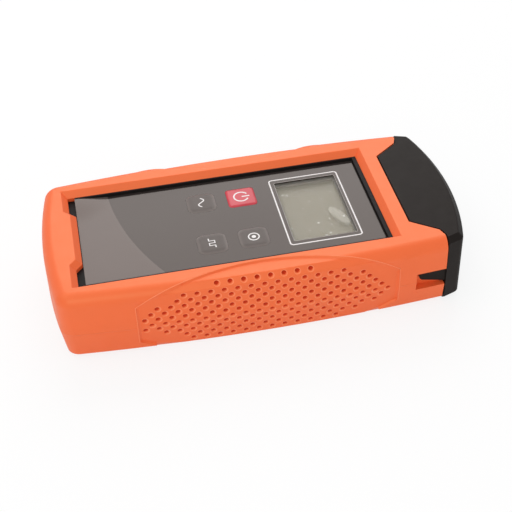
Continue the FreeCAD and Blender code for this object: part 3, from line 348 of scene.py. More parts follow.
pane_color = (0.6, 0.575, 0.49)
dust_color = (0.85, 0.83, 0.76)
window_clear = Finish("window_clear", pane_color, 0.08, Alpha=0.1)
pane_x, pane_y = window_clear.place.axes()[:2]
mark_at = (37.4 * mm, -7.2 * mm)
mark_turn = math.radians(-66)
mark_half_length, mark_half_width = 7.0 * mm, 2.3 * mm
dust_spacing = 3.6 * mm
off_x, off_y = pane_x - mark_at[0], pane_y - mark_at[1]
along_mark = (off_x * math.cos(mark_turn) + off_y * math.sin(mark_turn)) / mark_half_length
across_mark = (off_y * math.cos(mark_turn) - off_x * math.sin(mark_turn)) / mark_half_width
oval = 1 - (along_mark * along_mark + across_mark * across_mark).ramp(0.9, 1.0)
dust = window_clear.place.node("ShaderNodeTexVoronoi", {},
                               {"Vector": window_clear.place, "Scale": 1 / dust_spacing})
specks = (1 - dust.ramp(0.08, 0.15)) * window_clear.place.noise(9 * mm).ramp(0.45, 0.5)
window_clear.set("Alpha", 0.1 + 0.22 * oval + 0.5 * specks)
window_clear.set("Base Color", specks.blend((*pane_color, 1), (*dust_color, 1)))
window_clear.set("Roughness", 0.05 + 0.08 * window_clear.place.noise(6 * mm))
dress("display_window", window_clear)

# Front case: the upper half of the black case, with the plate that the film is stuck on.
# It shows as a dark strip between the film and the boot, and in the two notches at the tail.

dress("front_case", case_black)

# Graphic film: a printed polyester sheet stuck on the front case, dark, gloss and slightly uneven.
# Its tail end is a paler field with a bowed edge, a white line is printed round the display, and
# its far tail corner has come unstuck.


def pick(piece, kind, wanted):
    """Open a piece for editing with only the vertices, edges or faces that pass a test selected."""
    only(piece)
    bpy.ops.object.mode_set(mode="EDIT")
    bpy.ops.mesh.select_mode(type=kind)
    bpy.ops.mesh.select_all(action="DESELECT")
    shape = bmesh.from_edit_mesh(piece.data)
    elements = {"VERT": shape.verts, "EDGE": shape.edges, "FACE": shape.faces}[kind]
    for element in elements:
        if wanted(element):
            element.select_set(True)
    bmesh.update_edit_mesh(piece.data)


def extrude_up(rise):
    """Extrude what is selected straight up, or down where the rise is negative."""
    bpy.ops.mesh.extrude_region_move(TRANSFORM_OT_translate={"value": (0, 0, rise)})


def block(name, low, high):
    """A box between two corners, ready to be shaped."""
    bpy.ops.object.select_all(action="DESELECT")
    bpy.ops.mesh.primitive_cube_add(size=1)
    piece = bpy.context.object
    piece.name = name
    open_all(piece)
    bpy.ops.transform.resize(value=tuple(b - a for a, b in zip(low, high)))
    bpy.ops.transform.translate(value=tuple((a + b) / 2 for a, b in zip(low, high)))
    close()
    return piece


def upright(edge):
    """Whether an edge runs straight up."""
    a, b = (point.co for point in edge.verts)
    return (a.xy - b.xy).length < 0.001 * mm and abs(a.z - b.z) > 0.001 * mm


def grown(low, high, margin):
    """The two corners of a rectangle in plan with a margin added all round."""
    return (low[0] - margin, low[1] - margin), (high[0] + margin, high[1] + margin)


def round_block(name, plan, bottom, top, radius, segments=6):
    """A box with round upright corners, over a rectangle in plan and between two heights."""
    low, high = plan
    piece = block(name, (*low, bottom), (*high, top))
    pick(piece, "EDGE", upright)
    bpy.ops.mesh.bevel(offset=radius, segments=segments, affect="EDGES")
    close()
    return piece


def cut(piece, tools):
    """Take tools away from a piece and delete them."""
    for tool in tools:
        settle(piece, "BOOLEAN", operation="DIFFERENCE", object=tool, solver="MANIFOLD")
        bpy.data.objects.remove(tool)


def rod(name, points, radius, resolution, closed=False):
    """A round rod through points, made a mesh with shut ends."""
    curve = bpy.data.curves.new(name, "CURVE")
    curve.dimensions = "3D"
    curve.bevel_depth = radius
    curve.bevel_resolution = resolution
    curve.use_fill_caps = True
    line = curve.splines.new("POLY")
    line.points.add(len(points) - 1)
    for spot, point in zip(line.points, points):
        spot.co = (*point, 1)
    line.use_cyclic_u = closed
    piece = bpy.data.objects.new(name, curve)
    bpy.context.collection.objects.link(piece)
    only(piece)
    bpy.ops.object.convert(target="MESH")
    return bpy.context.object


def ink_line(name, points, width, height, closed=False):
    """A printed line through points on a level, as a rod pressed to a thin flat ribbon."""
    piece = rod(name, [(x, y, 0) for x, y in points], width / 2, 1, closed)
    open_all(piece)
    bpy.ops.transform.resize(value=(1, 1, ink_thickness / width), center_override=(0, 0, 0))
    bpy.ops.transform.translate(value=(0, 0, height))
    close()
    bpy.ops.object.shade_flat()
    return piece


def arc_points(middle, radius, start, end, steps=10):
    """Points along an arc, with angles in degrees."""
    angles = [math.radians(start + (end - start) * step / steps) for step in range(steps + 1)]
    return [(middle[0] + radius * math.cos(a), middle[1] + radius * math.sin(a)) for a in angles]


def round_frame(low, high, radius):
    """Points round a rectangle with round corners."""
    corners = [(high[0] - radius, high[1] - radius), (low[0] + radius, high[1] - radius),
               (low[0] + radius, low[1] + radius), (high[0] - radius, low[1] + radius)]
    points = []
    for turn, corner in enumerate(corners):
        points += arc_points(corner, radius, 90 * turn, 90 * turn + 90, 6)
    return points


def print_on(piece, inks, finish):
    """Join printed lines to the piece that carries them, in their own material."""
    piece.data.materials.append(finish.material)
    for ink in inks:
        ink.data.materials.clear()
        ink.data.materials.append(finish.material)
        only(piece)
        ink.select_set(True)
        bpy.ops.object.join()


ink_thickness = 0.05 * mm
ink_white = moulded("ink_white", (0.8, 0.77, 0.76), 0.45, depth=0.002 * mm, cloud=0.04)

film_low, film_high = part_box("graphic_overlay")
film_color = (0.03, 0.0235, 0.0215)
field_color = (0.098, 0.078, 0.072)
field_bow = (69.6 * mm, 38.6 * mm)
field_radius = 127.4 * mm
field_blur = 0.3 * mm
film_sheen = (0.9, 0.76, 0.69, 1.0)
overlay_grey = Finish("overlay_grey", film_color, 0.1, Specular_Tint=film_sheen)
film_x, film_y = overlay_grey.place.axes()[:2]
bow_x, bow_y = film_x - field_bow[0], film_y - field_bow[1]
bow_reach = (bow_x * bow_x + bow_y * bow_y).root()
in_field = bow_reach.ramp(field_radius - field_blur, field_radius + field_blur)
ground = in_field.blend((*film_color, 1), (*field_color, 1))
cloudy = overlay_grey.place.noise(20 * mm, 3.0)
overlay_grey.set("Base Color", ground.node(
    "ShaderNodeMix", {"data_type": "RGBA", "blend_type": "MULTIPLY"},
    {0: 1.0, 6: ground, 7: cloudy.blend((0.92, 0.92, 0.92, 1), (1.06, 1.06, 1.06, 1))}, 2))
overlay_grey.set("Roughness", 0.07 + 0.07 * overlay_grey.place.noise(8 * mm))
overlay_grey.bump(overlay_grey.place.noise(40 * mm, 0.0), 0.5 * mm)

key_nodes = ("wavelength_key", "power_key", "mode_key", "identify_key")
key_size = 12.4 * mm
key_gap = 0.06 * mm
key_corner = {"power_key": 1.6 * mm}
soft_corner = 3.0 * mm
key_middle = {}
for node in key_nodes:
    low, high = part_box(node)
    key_middle[node] = (low + high) / 2
view_low, view_high = (15.0 * mm, -20.1 * mm), (41.8 * mm, 20.1 * mm)
view_corner = 0.6 * mm
frame_low, frame_high = (13.0 * mm, -22.4 * mm), (43.4 * mm, 22.4 * mm)
line_width, line_corner = 0.6 * mm, 1.3 * mm
edge_width, edge_corner = 0.22 * mm, 0.7 * mm
edge_margin = 0.15 * mm
cutter_beyond = 1 * mm
corner_lift, corner_reach = 1.3 * mm, 15 * mm

bpy.ops.object.select_all(action="DESELECT")
bpy.ops.mesh.primitive_grid_add(x_subdivisions=62, y_subdivisions=28, size=1)
graphic_film = bpy.context.object
graphic_film.name = "graphic_film"
film_x_middle, film_y_middle = (film_low.x + film_high.x) / 2, (film_low.y + film_high.y) / 2
open_all(graphic_film)
bpy.ops.transform.resize(value=(film_high.x - film_low.x, film_high.y - film_low.y, 1))
bpy.ops.transform.translate(value=(film_x_middle, film_y_middle, film_low.z))
extrude_up(film_high.z - film_low.z)
bpy.ops.mesh.select_all(action="SELECT")
bpy.ops.mesh.normals_make_consistent(inside=False)
close()
hole_bottom, hole_top = film_low.z - cutter_beyond, film_high.z + cutter_beyond
holes = []
for node in key_nodes:
    at = key_middle[node]
    holes.append(round_block("hole", grown(at, at, key_size / 2 + key_gap), hole_bottom, hole_top,
                             key_corner.get(node, soft_corner) + key_gap))
holes.append(round_block("hole", (view_low, view_high), hole_bottom, hole_top, view_corner))
cut(graphic_film, holes)
loose_corner = Vector((film_low.x, film_high.y))
pick(graphic_film, "VERT", lambda point: (point.co.xy - loose_corner).length < 0.1 * mm)
bpy.ops.transform.translate(value=(0, 0, corner_lift), use_proportional_edit=True,
                            proportional_edit_falloff="SMOOTH", proportional_size=corner_reach)
close()
smooth(graphic_film)
fit(graphic_film, overlay_grey, "instrument", "overlay_grey", "graphic_overlay")
display_line = ink_line("display_line", round_frame(frame_low, frame_high, line_corner), line_width,
                        film_high.z, True)
print_on(graphic_film, [display_line], ink_white)
# the cut edge of the sheet shows as a paler line round the view hole, painted on the film's top as a
# highlight of that edge
cut_edge_highlight = moulded("cut_edge_highlight", (0.34, 0.31, 0.285), 0.4, depth=0.002 * mm)
hole_edge = ink_line("hole_edge", round_frame(*grown(view_low, view_high, edge_margin), edge_corner),
                     edge_width, film_high.z, True)
print_on(graphic_film, [hole_edge], cut_edge_highlight)

# Film lip: a thin black wall of the front case that stands round the film on three sides.
# It fills the step up to the boot's window, and the film mirrors it.

lip_reach = 0.82 * mm
lip_head_reach = 1.85 * mm
lip_top = 30.8 * mm
lip_gap = 0.08 * mm
film_lip = block("film_lip", (film_low.x, film_low.y - lip_reach, film_low.z),
                 (film_high.x + lip_head_reach, film_high.y + lip_reach, lip_top))
cut(film_lip, [block("hole", (film_low.x - cutter_beyond, film_low.y - lip_gap, film_low.z - cutter_beyond),
                     (film_high.x + lip_gap, film_high.y + lip_gap, lip_top + cutter_beyond))])
soften(film_lip, 0.12 * mm)
smooth(film_lip)
fit(film_lip, case_black, "instrument", "case_black")

# Display gasket: a strip of grey foam round the view hole, between the pane and the glass.
# It keeps dust out and shows as a grey edge round the display.

pane_low, pane_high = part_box("display_window")
glass_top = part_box("lcd_panel")[1].z
foam_width = 0.3 * mm
foam_slip = 0.03 * mm
foam_corner, foam_hole_corner = 0.1 * mm, 0.4 * mm
display_gasket = round_block("display_gasket", grown(view_low, view_high, -foam_slip),
                             glass_top + foam_slip, pane_low.z - foam_slip, foam_corner, 2)
cut(display_gasket, [round_block("hole", grown(view_low, view_high, -foam_width), glass_top - cutter_beyond,
                                 pane_low.z + cutter_beyond, foam_hole_corner)])
soften(display_gasket, 0.08 * mm)
smooth(display_gasket)
gasket_foam = moulded("gasket_foam", (0.3, 0.27, 0.235), 0.8, grain=0.15 * mm, depth=0.05 * mm)
fit(display_gasket, gasket_foam, "instrument", "strip_rubber")

# Pane border: a grey band printed on the underside of the pane, from its rim to just inside the view
# hole. It hides the seat of the pane, so only the display shows through the hole.

border_width = 0.5 * mm
border_slip = 0.03 * mm
border_corner, border_hole_corner = 0.4 * mm, 0.5 * mm
border_bottom, border_top = pane_low.z + 0.02 * mm, pane_low.z + 0.05 * mm
pane_border = round_block("pane_border", grown(pane_low, pane_high, -border_slip),
                          border_bottom, border_top, border_corner, 3)
cut(pane_border, [round_block("hole", grown(view_low, view_high, -border_width),
                              border_bottom - cutter_beyond, border_bottom + cutter_beyond,
                              border_hole_corner)])
smooth(pane_border)
border_grey = moulded("border_grey", (0.16, 0.142, 0.128), 0.5, depth=0.003 * mm)
fit(pane_border, border_grey, "instrument", "window_clear")

# Keys: four moulded caps that stand a little above the film, each with a printed sign and a flange
# below that holds it in. Three are grey with wide round corners, and the power key is red.

# painted highlight: the grey caps are paler low on their sides than on their crowns
crown_color, skirt_highlight_color = (0.07, 0.06, 0.056), (0.15, 0.13, 0.122)
skirt_height, crown_height = 29.45 * mm, 29.84 * mm
key_grey = moulded("key_grey", crown_color, 0.42, depth=0.003 * mm, Specular_Tint=film_sheen)
on_crown = key_grey.place.axes()[2].ramp(skirt_height, crown_height)
key_grey.set("Base Color", on_crown.blend((*skirt_highlight_color, 1), (*crown_color, 1)))
key_red = moulded("key_red", (0.56, 0.035, 0.055), 0.36, depth=0.003 * mm)
flange_top = 26.55 * mm
flange_thickness = 0.6 * mm
flange_spread = 1.145
stem_share = 0.22
crown_drop = 0.48 * mm
# each step of the pillow: its width as a share of the corner's radius, its rise as a share of the drop
crown_steps = ((0.18, 0.34), (0.26, 0.4), (0.4, 0.26))


def widen(share, middle):
    """Scale what is selected in plan, about a middle."""
    bpy.ops.transform.resize(value=(share, share, 1), center_override=middle)


def on_key(at, points):
    """Points of a sign, up the key first and then to its right, set on a key that faces the nose."""
    return [(at.x + up, at.y - right) for up, right in points]


def key_cap(node, finish, body, slot, signs):
    """A pillow-shaped cap with a flange and a stem, in place of a key of the frame."""
    low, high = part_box(node)
    at = key_middle[node]
    axis = (at.x, at.y, 0)
    corner = key_corner.get(node, soft_corner)
    cap = round_block(node + "_cap", grown(at, at, key_size / 2), flange_top, high.z - crown_drop, corner)
    pick(cap, "FACE", lambda face: face.normal.z > 0.9)
    for share, rise in crown_steps:
        bpy.ops.mesh.inset(thickness=corner * share)
        bpy.ops.transform.translate(value=(0, 0, crown_drop * rise))
    close()
    pick(cap, "FACE", lambda face: face.normal.z < -0.9)
    extrude_up(0)
    widen(flange_spread, axis)
    extrude_up(-flange_thickness)
    close()
    flange_middle = flange_top - flange_thickness / 2
    pick(cap, "FACE", lambda face: face.normal.z < -0.9 and face.calc_center_median().z < flange_middle)
    extrude_up(0)
    widen(stem_share, axis)
    extrude_up(low.z - flange_top + flange_thickness)
    close()
    smooth(cap, 40)
    fit(cap, finish, body, slot, node)
    print_on(cap, [ink_line("sign", on_key(at, points), width, high.z, closed)
                   for points, width, closed in signs], ink_white)


sign_width, power_width, dot_width = 0.55 * mm, 0.65 * mm, 0.86 * mm
wave_height, wave_length, wave_steps = 1.3 * mm, 6 * mm, 24
wave = [(wave_height * math.sin(2 * math.pi * step / wave_steps), wave_length * (step / wave_steps - 0.5))
        for step in range(wave_steps + 1)]
pulse_height, pulse_length = 1.2 * mm, 1.5 * mm
pulse_corners = [(-1, -2), (-1, -1), (1, -1), (1, 0), (-1, 0), (-1, 1), (1, 1), (1, 2)]
pulse = [(up * pulse_height, right * pulse_length) for up, right in pulse_corners]
power_ring = arc_points((0, 0), 3.1 * mm, 30, 330, 30)
power_bar = [(0.3 * mm, 0), (3.7 * mm, 0)]
mark_ring = arc_points((0, 0), 2.2 * mm, 0, 345, 23)
mark_dot = arc_points((0, 0), 0.5 * mm, 0, 330, 11)

key_cap("wavelength_key", key_grey, "wavelength_button", "key_grey", [(wave, sign_width, False)])
key_cap("power_key", key_red, "power_button", "key_red",
        [(power_ring, power_width, False), (power_bar, power_width, False)])
key_cap("mode_key", key_grey, "mode_button", "key_grey", [(pulse, sign_width, False)])
key_cap("identify_key", key_grey, "identify_button", "key_grey",
        [(mark_ring, sign_width, True), (mark_dot, dot_width, True)])

# Optical port: a nickelled brass adapter with a ceramic sleeve, screwed to the nose of the case.
# The dust cap hides it until it is pulled off.

adapter_metal = Finish("adapter_metal", (0.7, 0.66, 0.58), 0.25, 1.0)
adapter_metal.set("Roughness", 0.2 + 0.15 * adapter_metal.place.noise(1.0 * mm))
fit(softened("optical_adapter", "port_adapter", 0.2 * mm), adapter_metal, "instrument", "adapter_metal",
    "optical_adapter")
fit(softened("adapter_screws", "port_screws", 0.12 * mm), screw_steel, "instrument", "screw_steel",
    "adapter_screws")
sleeve_white = moulded("sleeve_white", (0.86, 0.86, 0.83), 0.2, depth=0.002 * mm)
fit(softened("ferrule_sleeve", "port_sleeve", 0.1 * mm), sleeve_white, "instrument", "sleeve_white",
    "ferrule_sleeve")

# Protective boot: one thick moulding in orange rubber, stretched over the case from the tail.
# Its sides bow out, and each holds a sunk leaf-shaped grip with rows of round dimples.

boot_color = (0.88, 0.127, 0.034)
parting_height = 14.5 * mm
grip_end = 54 * mm
boot_rubber = moulded("boot_rubber", boot_color, 0.48, cloud=0.04, Specular_IOR_Level=0.8,
                      Specular_Tint=(1.0, 0.93, 0.5, 1.0))
boot_x, boot_z = boot_rubber.place.axes()[::2]
off_parting = abs(boot_z - parting_height)
past_grip = abs(boot_x).ramp(grip_end, grip_end + 1 * mm)
flash_line = (1 - off_parting.ramp(0.05 * mm, 0.25 * mm)) * past_grip
skin_grain, skin_share, flash_height = 0.25 * mm, 0.12, 0.1 * mm
boot_rubber.bump(boot_rubber.place.noise(skin_grain) * skin_share + flash_line, flash_height)
boot = merged_copy("protective_boot", "rubber_boot")
boot_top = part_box("protective_boot")[1].z

# each dimple is found by the tip of its cone, filled up here and cut again below with a turned-out lip
pit_sides = range(4, 7)
pit_side_area = 1.0 * mm * mm
pit_reach = (0.6 * mm, 1.25 * mm)
pit_depth = (0.85 * mm, 1.15 * mm)
shape = bmesh.new()
shape.from_mesh(boot.data)
dimples = []
tips = []
for point in shape.verts:
    sides = point.link_faces
    if len(sides) in pit_sides and max(face.calc_area() for face in sides) < pit_side_area:
        rim = [edge.other_vert(point).co for edge in point.link_edges]
        middle = Vector([(min(parts) + max(parts)) / 2 for parts in zip(*rim)])
        reach = [(corner - middle).length for corner in rim]
        depth = (middle - point.co).length
        round_mouth = pit_reach[0] < min(reach) and max(reach) < pit_reach[1]
        if round_mouth and pit_depth[0] < depth < pit_depth[1]:
            dimples.append((middle, (middle - point.co).normalized()))
            tips.append(point)
bmesh.ops.delete(shape, geom=tips, context="VERTS")
shape.to_mesh(boot.data)
shape.free()
open_all(boot)
bpy.ops.mesh.fill_holes(sides=pit_sides[-1])
close()

# the wall round each grip is leaned back into a soft slope, and the skin beside it follows
lean = 1.3 * mm
lean_reach = 3.25 * mm
longest_lean = 2.5 * mm
grip_from = 31 * mm
touch = 0.05 * mm
wall_slope = 0.035
shape = bmesh.new()
shape.from_mesh(boot.data)
skin = BVHTree.FromBMesh(shape)


def from_above(point):
    """The way from a point on one side towards a viewer 45 degrees above that side."""
    return Vector((0, math.copysign(1, point.y), 1)).normalized()


def shown(point):
    """The spot of the boot that covers a point for that viewer, looked for from 20 mm away."""
    return skin.ray_cast(point + from_above(point) * 20 * mm, -from_above(point))[0]


def beside_grip(point, margin=0.0):
    """Whether a vertex lies on a side of the boot, between the two ends of the grip."""
    return abs(point.co.x) < grip_end + margin and abs(point.co.y) > grip_from


def is_grip_wall(face):
    """Whether a face belongs to the wall round a grip, which runs straight towards that viewer."""
    return (abs(face.normal.dot(from_above(face.calc_center_median()))) < wall_slope
            and all(beside_grip(point, touch) for point in face.verts))


sunk = {}
rims = {-1: [], 1: []}
for point in shape.verts:
    walls = [face for face in point.link_faces if is_grip_wall(face)]
    if walls:
        facing = sum((face.normal for face in walls), Vector()).normalized()
        spot = shown(point.co + facing * 0.05 * mm)
        if spot and (spot - point.co).length < 0.2 * mm:
            sunk[point] = facing
        else:
            rims[1 if point.co.y > 0 else -1].append(point.co.copy())
landings = []
for point in shape.verts:
    push = Vector()
    if point in sunk:
        push = sunk[point] * lean
    elif beside_grip(point):
        foot = min(sunk, key=lambda other: (other.co - point.co).length)
        off = point.co - foot.co
        if off.length < lean_reach and off.dot(sunk[foot]) > 0.02 * mm:
            spot = shown(point.co)
            if spot and (spot - point.co).length < touch:
                push = sunk[foot] * lean * (1 - off.length / lean_reach)
    if push.length > 0:
        spot = shown(point.co + push)
        if spot and (spot - point.co).length < longest_lean:
            landings.append((point, spot))

# the corners of a triangle that the lean turns over go some way back towards their homes, round by round
sliver_area = 0.0005 * mm * mm
most_rounds = 30
way_back = 0.2
homes = {point: point.co.copy() for point, spot in landings}
first_normals = {face: face.normal.copy() for point in homes for face in point.link_faces
                 if face.calc_area() > sliver_area}
for point, spot in landings:
    point.co = spot
for attempt in range(most_rounds):
    turned_over = set()
    for face, normal in first_normals.items():
        face.normal_update()
        if face.normal.dot(normal) < 0:
            turned_over.update(point for point in face.verts if point in homes)
    for point in turned_over:
        point.co = point.co.lerp(homes[point], way_back)
shape.to_mesh(boot.data)
shape.free()
whole_flats(boot)

window_reach = 32.3 * mm
window_head = 58 * mm
head_rim = 56 * mm
foot_height = 2.6 * mm
foot_from = 25 * mm
tail_foot = -78.5 * mm


def sharp(edge):
    """Whether the two faces of an edge meet at a clear angle."""
    return edge.calc_face_angle(0) > math.radians(25)


def on_window_rim(edge):
    """Whether an edge runs round the top of the key window."""
    return sharp(edge) and all(point.co.z > boot_top - touch and abs(point.co.y) < window_reach
                               and point.co.x < window_head for point in edge.verts)


def on_head_rim(edge):
    """Whether an edge of that rim lies at its head end."""
    return on_window_rim(edge) and all(point.co.x > head_rim for point in edge.verts)


def past_grips(point):
    """Whether a vertex lies on a side past the ends of the grip, or at the tail."""
    on_side = abs(point.co.y) > foot_from and abs(point.co.x) > grip_end + 1 * mm
    return on_side or point.co.x < tail_foot


def on_foot(edge):
    """Whether an edge bounds the bevel round the underside, outside the grips."""
    heights = [point.co.z for point in edge.verts]
    level = abs(heights[0] - heights[1]) < 0.3 * mm
    return (sharp(edge) and level and max(heights) < foot_height
            and all(past_grips(point) for point in edge.verts))


def bevel_edges(piece, wanted, width, segments):
    """Round the edges of a piece that pass a test."""
    pick(piece, "EDGE", wanted)
    bpy.ops.mesh.bevel(offset=width, segments=segments, affect="EDGES", clamp_overlap=True)
    close()


# a fine bead follows the outer edge of each grip, an arc in the plane that leans by 45 degrees
leaf_radius = 128 * mm
crest_x, crest_y = -1.5 * mm, 32.6 * mm
leaf_middle = (crest_x, (boot_top - crest_y) * math.sqrt(0.5) - leaf_radius)
bead_radius = 0.18 * mm
bead_top = boot_top - 1.05 * bead_radius
bead_foot = 4 * mm
bead_touch = 0.03 * mm


def bead_path(side):
    """The spots along a grip's edge, from the foot of its tail end over the arc to its head end."""
    tail, arc, head = [], [], []
    for spot in rims[side]:
        up = (spot.z - abs(spot.y)) * math.sqrt(0.5)
        if abs(math.dist((spot.x, up), leaf_middle) - leaf_radius) < bead_touch:
            arc.append((spot.x, spot))
        elif abs(abs(spot.x) - grip_end) < bead_touch and spot.z > bead_foot:
            (head if spot.x > 0 else tail).append((up, spot))
    tail.sort(key=lambda pair: pair[0])
    arc.sort(key=lambda pair: pair[0])
    head.sort(key=lambda pair: -pair[0])
    return [spot for order, spot in tail + arc + head]


beads = []
for side in (-1, 1):
    path = [(spot.x, spot.y, min(spot.z, bead_top)) for spot in bead_path(side)]
    beads.append(rod("bead", path, bead_radius, 2))

bevel_edges(boot, on_head_rim, 1.7 * mm, 6)
bevel_edges(boot, on_window_rim, 0.65 * mm, 4)
bevel_edges(boot, on_foot, 0.9 * mm, 3)
soften(boot, 0.3 * mm)

# one cutter with a turned-out lip is copied to every dimple, slanted there as a level mould pin
# leaves it in a sloping wall; its profile is the radius and height of each ring in millimetres
profile = [(1.9, 0.3), (1.6, 0.06), (1.1, -0.12), (0.84, -0.54), (0.5, -0.9), (0.2, -1.12)]
lip_above, lit_above = -0.1 * mm, -0.5 * mm
most_slant = 0.6
skin_slot, pit_shade_slot, lip_highlight_slot = range(3)
bpy.ops.object.select_all(action="DESELECT")
bpy.ops.mesh.primitive_circle_add(vertices=12, radius=profile[0][0] * mm, fill_type="NGON")
cutter = bpy.context.object
cutter.data.transform(Matrix.Translation((0, 0, profile[0][1] * mm)))
open_all(cutter)
for (wide, high), (narrow, low) in zip(profile, profile[1:]):
    extrude_up((low - high) * mm)
    widen(narrow / wide, (0, 0, low * mm))
bpy.ops.mesh.select_all(action="SELECT")
bpy.ops.mesh.normals_make_consistent(inside=False)
close()
# painted shade: each pit's upper and deepest faces take a darker red, while its lower wall keeps the skin
# colour as if lit from above
for face in cutter.data.polygons:
    if face.center.z > lip_above:
        face.material_index = lip_highlight_slot
    elif face.center.z > lit_above and face.center.y < 0:
        face.material_index = skin_slot
    else:
        face.material_index = pit_shade_slot
cutters = bmesh.new()
for middle, outward in dimples:
    known = len(cutters.verts)
    cutters.from_mesh(cutter.data)
    cutters.verts.ensure_lookup_table()
    slant = Matrix.Identity(4)
    slant[1][2] = -min(most_slant, max(0.0, outward.z / outward.xy.length))
    turn = outward.to_track_quat("Z", "Y").to_matrix().to_4x4()
    seat = Matrix.Translation(middle) @ turn @ slant
    bmesh.ops.transform(cutters, matrix=seat, verts=cutters.verts[known:])
cutters.to_mesh(cutter.data)
cutters.free()
boot_pit_shade = moulded("boot_pit_shade", (0.6, 0.046, 0.009), 0.6, cloud=0.1, Specular_IOR_Level=0.2)
# painted highlight: the lip ring of each dimple, and the bead along each grip, take a lighter orange
boot_lip_highlight = moulded("boot_lip_highlight", (0.97, 0.235, 0.085), 0.4, cloud=0.04)
for owner in (boot, cutter):
    for finish in (boot_rubber, boot_pit_shade, boot_lip_highlight):
        owner.data.materials.append(finish.material)
cut(boot, [cutter])

# a sliver of a hollow shut in the middle of the floor shows nowhere and is left out
hollow_half_length, hollow_half_width, hollow_height = 13 * mm, 0.4 * mm, 0.7 * mm


def in_floor_hollow(point):
    """Whether a vertex belongs to that hollow."""
    return (abs(point.co.x) < hollow_half_length and abs(point.co.y) < hollow_half_width
            and point.co.z < hollow_height)


pick(boot, "VERT", in_floor_hollow)
bpy.ops.mesh.delete(type="VERT")
close()

# the mould's parting line stays a crisp edge past the grips and round the tail
parting_from = 30 * mm
tail_face = -80 * mm


def on_parting(edge):
    """Whether an edge runs along the parting line outside the grips."""
    return all(abs(point.co.z - parting_height) < touch and abs(point.co.x) > grip_end + 0.5 * mm
               and (abs(point.co.y) > parting_from or point.co.x < tail_face) for point in edge.verts)


pick(boot, "EDGE", on_parting)
bpy.ops.mesh.mark_sharp()
close()
smooth(boot)
# each bead takes the lighter lip colour, a painted highlight along the grip's edge
for bead in beads:
    bead.data.materials.append(boot_lip_highlight.material)
    only(bead)
    bpy.ops.object.shade_smooth()
    only(boot)
    bead.select_set(True)
    bpy.ops.object.join()
# the boot's faces have three materials, which fit would clear
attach(boot, "instrument")
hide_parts("protective_boot")

# Slot webs: thin skins of the boot's rubber that close its two side slots from behind.
# They lie against the case, and the cap's arms slide in over them.

web_back, web_front = 61.2 * mm, 72.8 * mm
web_inner, web_outer = 36.85 * mm, 37.06 * mm
web_bottom, web_top = 9.9 * mm, 19.1 * mm
for side, name in ((-1, "near_slot_web"), (1, "far_slot_web")):
    faces = sorted((side * web_inner, side * web_outer))
    web = block(name, (web_back, faces[0], web_bottom), (web_front, faces[1], web_top))
    soften(web, 0.06 * mm)
    smooth(web)
    fit(web, boot_rubber, "instrument", "boot_rubber")

# Dust cap: a hollow black cover over the nose that pulls off forwards, with a fine matt skin.
# Its tongue lies in the boot's notch, and its two side arms reach into the boot's slots.

cap_black = moulded("cap_black", (0.014, 0.0115, 0.0105), 0.5, grain=0.3 * mm, depth=0.015 * mm,
                    Specular_IOR_Level=0.12, Specular_Tint=film_sheen)
cap = merged_copy("dust_cap", "nose_cap")
whole_flats(cap)
cap_low, cap_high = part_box("dust_cap")
cap_bevel = 2.2 * mm
cap_mouth = 75 * mm
bevel_levels = (cap_low.z, cap_low.z + cap_bevel, cap_high.z - cap_bevel, cap_high.z)


def on_cap_bevel(edge):
    """Whether an edge bounds the bevel round the cap's top or underside."""
    heights = [point.co.z for point in edge.verts]
    level = any(all(abs(height - mark) < 0.02 * mm for height in heights) for mark in bevel_levels)
    return sharp(edge) and level and min(point.co.x for point in edge.verts) > cap_mouth


bevel_edges(cap, on_cap_bevel, 1.15 * mm, 4)
soften(cap, 0.35 * mm)
smooth(cap)
fit(cap, cap_black, "cap", "cap_black", "dust_cap")

# Studio: a pale floor, a large soft lamp behind that the film mirrors, a weaker one in front and a
# small one over the tail. The camera stands where the photograph was taken from.

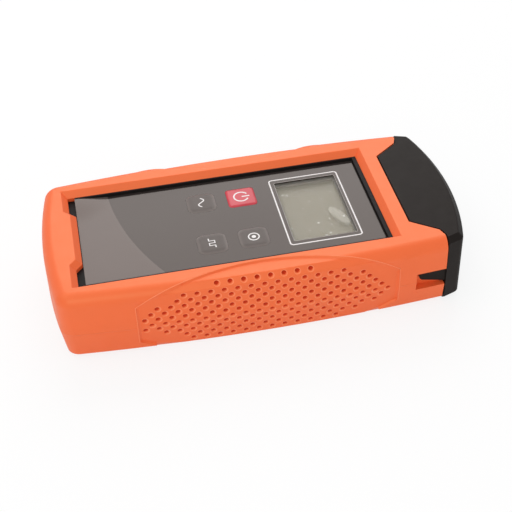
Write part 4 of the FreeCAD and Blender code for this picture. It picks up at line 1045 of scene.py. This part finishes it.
bpy.ops.object.select_all(action="DESELECT")
bpy.ops.mesh.primitive_plane_add(size=6)
floor = bpy.context.object
floor.name = "floor"
paper_glow = 0.82
floor_white = Finish("floor_white", (0.9, 0.9, 0.9), 0.8)
floor.data.materials.append(floor_white.material)
rays = floor_white.tree.nodes.new("ShaderNodeLightPath")
seen = Value(floor_white.tree, rays.outputs["Is Camera Ray"])
mirrored = Value(floor_white.tree, rays.outputs["Is Glossy Ray"])
through = Value(floor_white.tree, rays.outputs["Is Transmission Ray"])
glow = seen.node("ShaderNodeEmission", {}, {"Color": (1, 1, 1, 1), "Strength": 1.0})
matt = Value(floor_white.tree, floor_white.shader.outputs[0])
looked_at = seen + mirrored + through
paper = glow.node("ShaderNodeMixShader", {}, {0: looked_at * paper_glow, 1: matt, 2: glow})
floor_white.tree.links.new(paper.socket, floor_white.tree.nodes["Material Output"].inputs["Surface"])

world = bpy.data.worlds.new("studio")
bpy.context.scene.world = world
world.use_nodes = True
sky = world.node_tree.nodes["Background"]
sky.inputs["Color"].default_value = (1, 1, 1, 1)
sky.inputs["Strength"].default_value = 0.63
lamp_aim = Vector((0, 0, 0.02))


def soft_lamp(name, place, size, power):
    """A square lamp that shines on the object."""
    lamp = bpy.data.lights.new(name, "AREA")
    lamp.size = size
    lamp.energy = power
    stand = bpy.data.objects.new(name, lamp)
    bpy.context.collection.objects.link(stand)
    stand.location = place
    stand.rotation_euler = (lamp_aim - Vector(place)).to_track_quat("-Z", "Y").to_euler()


soft_lamp("back_lamp", (0.16, 0.9, 0.8), 0.9, 6.0)
soft_lamp("front_lamp", (-0.3, -0.85, 0.7), 0.6, 3.0)
soft_lamp("top_lamp", (-0.45, 0.05, 0.9), 0.5, 1.3)

camera = bpy.data.cameras.new("camera")
camera.sensor_width = 36
camera.lens = 77.35
viewer = bpy.data.objects.new("camera", camera)
bpy.context.collection.objects.link(viewer)
right, up, ahead = (0.979, -0.2016, -0.032), (0.1554, 0.6346, 0.7571), (0.1323, 0.7461, -0.6525)
stand_at = (-0.0615, -0.3588, 0.3207)
axes = Matrix((right, up, [-part for part in ahead])).transposed().to_4x4()
viewer.matrix_world = Matrix.Translation(stand_at) @ axes
bpy.context.scene.camera = viewer
bpy.context.scene.view_settings.view_transform = "Standard"
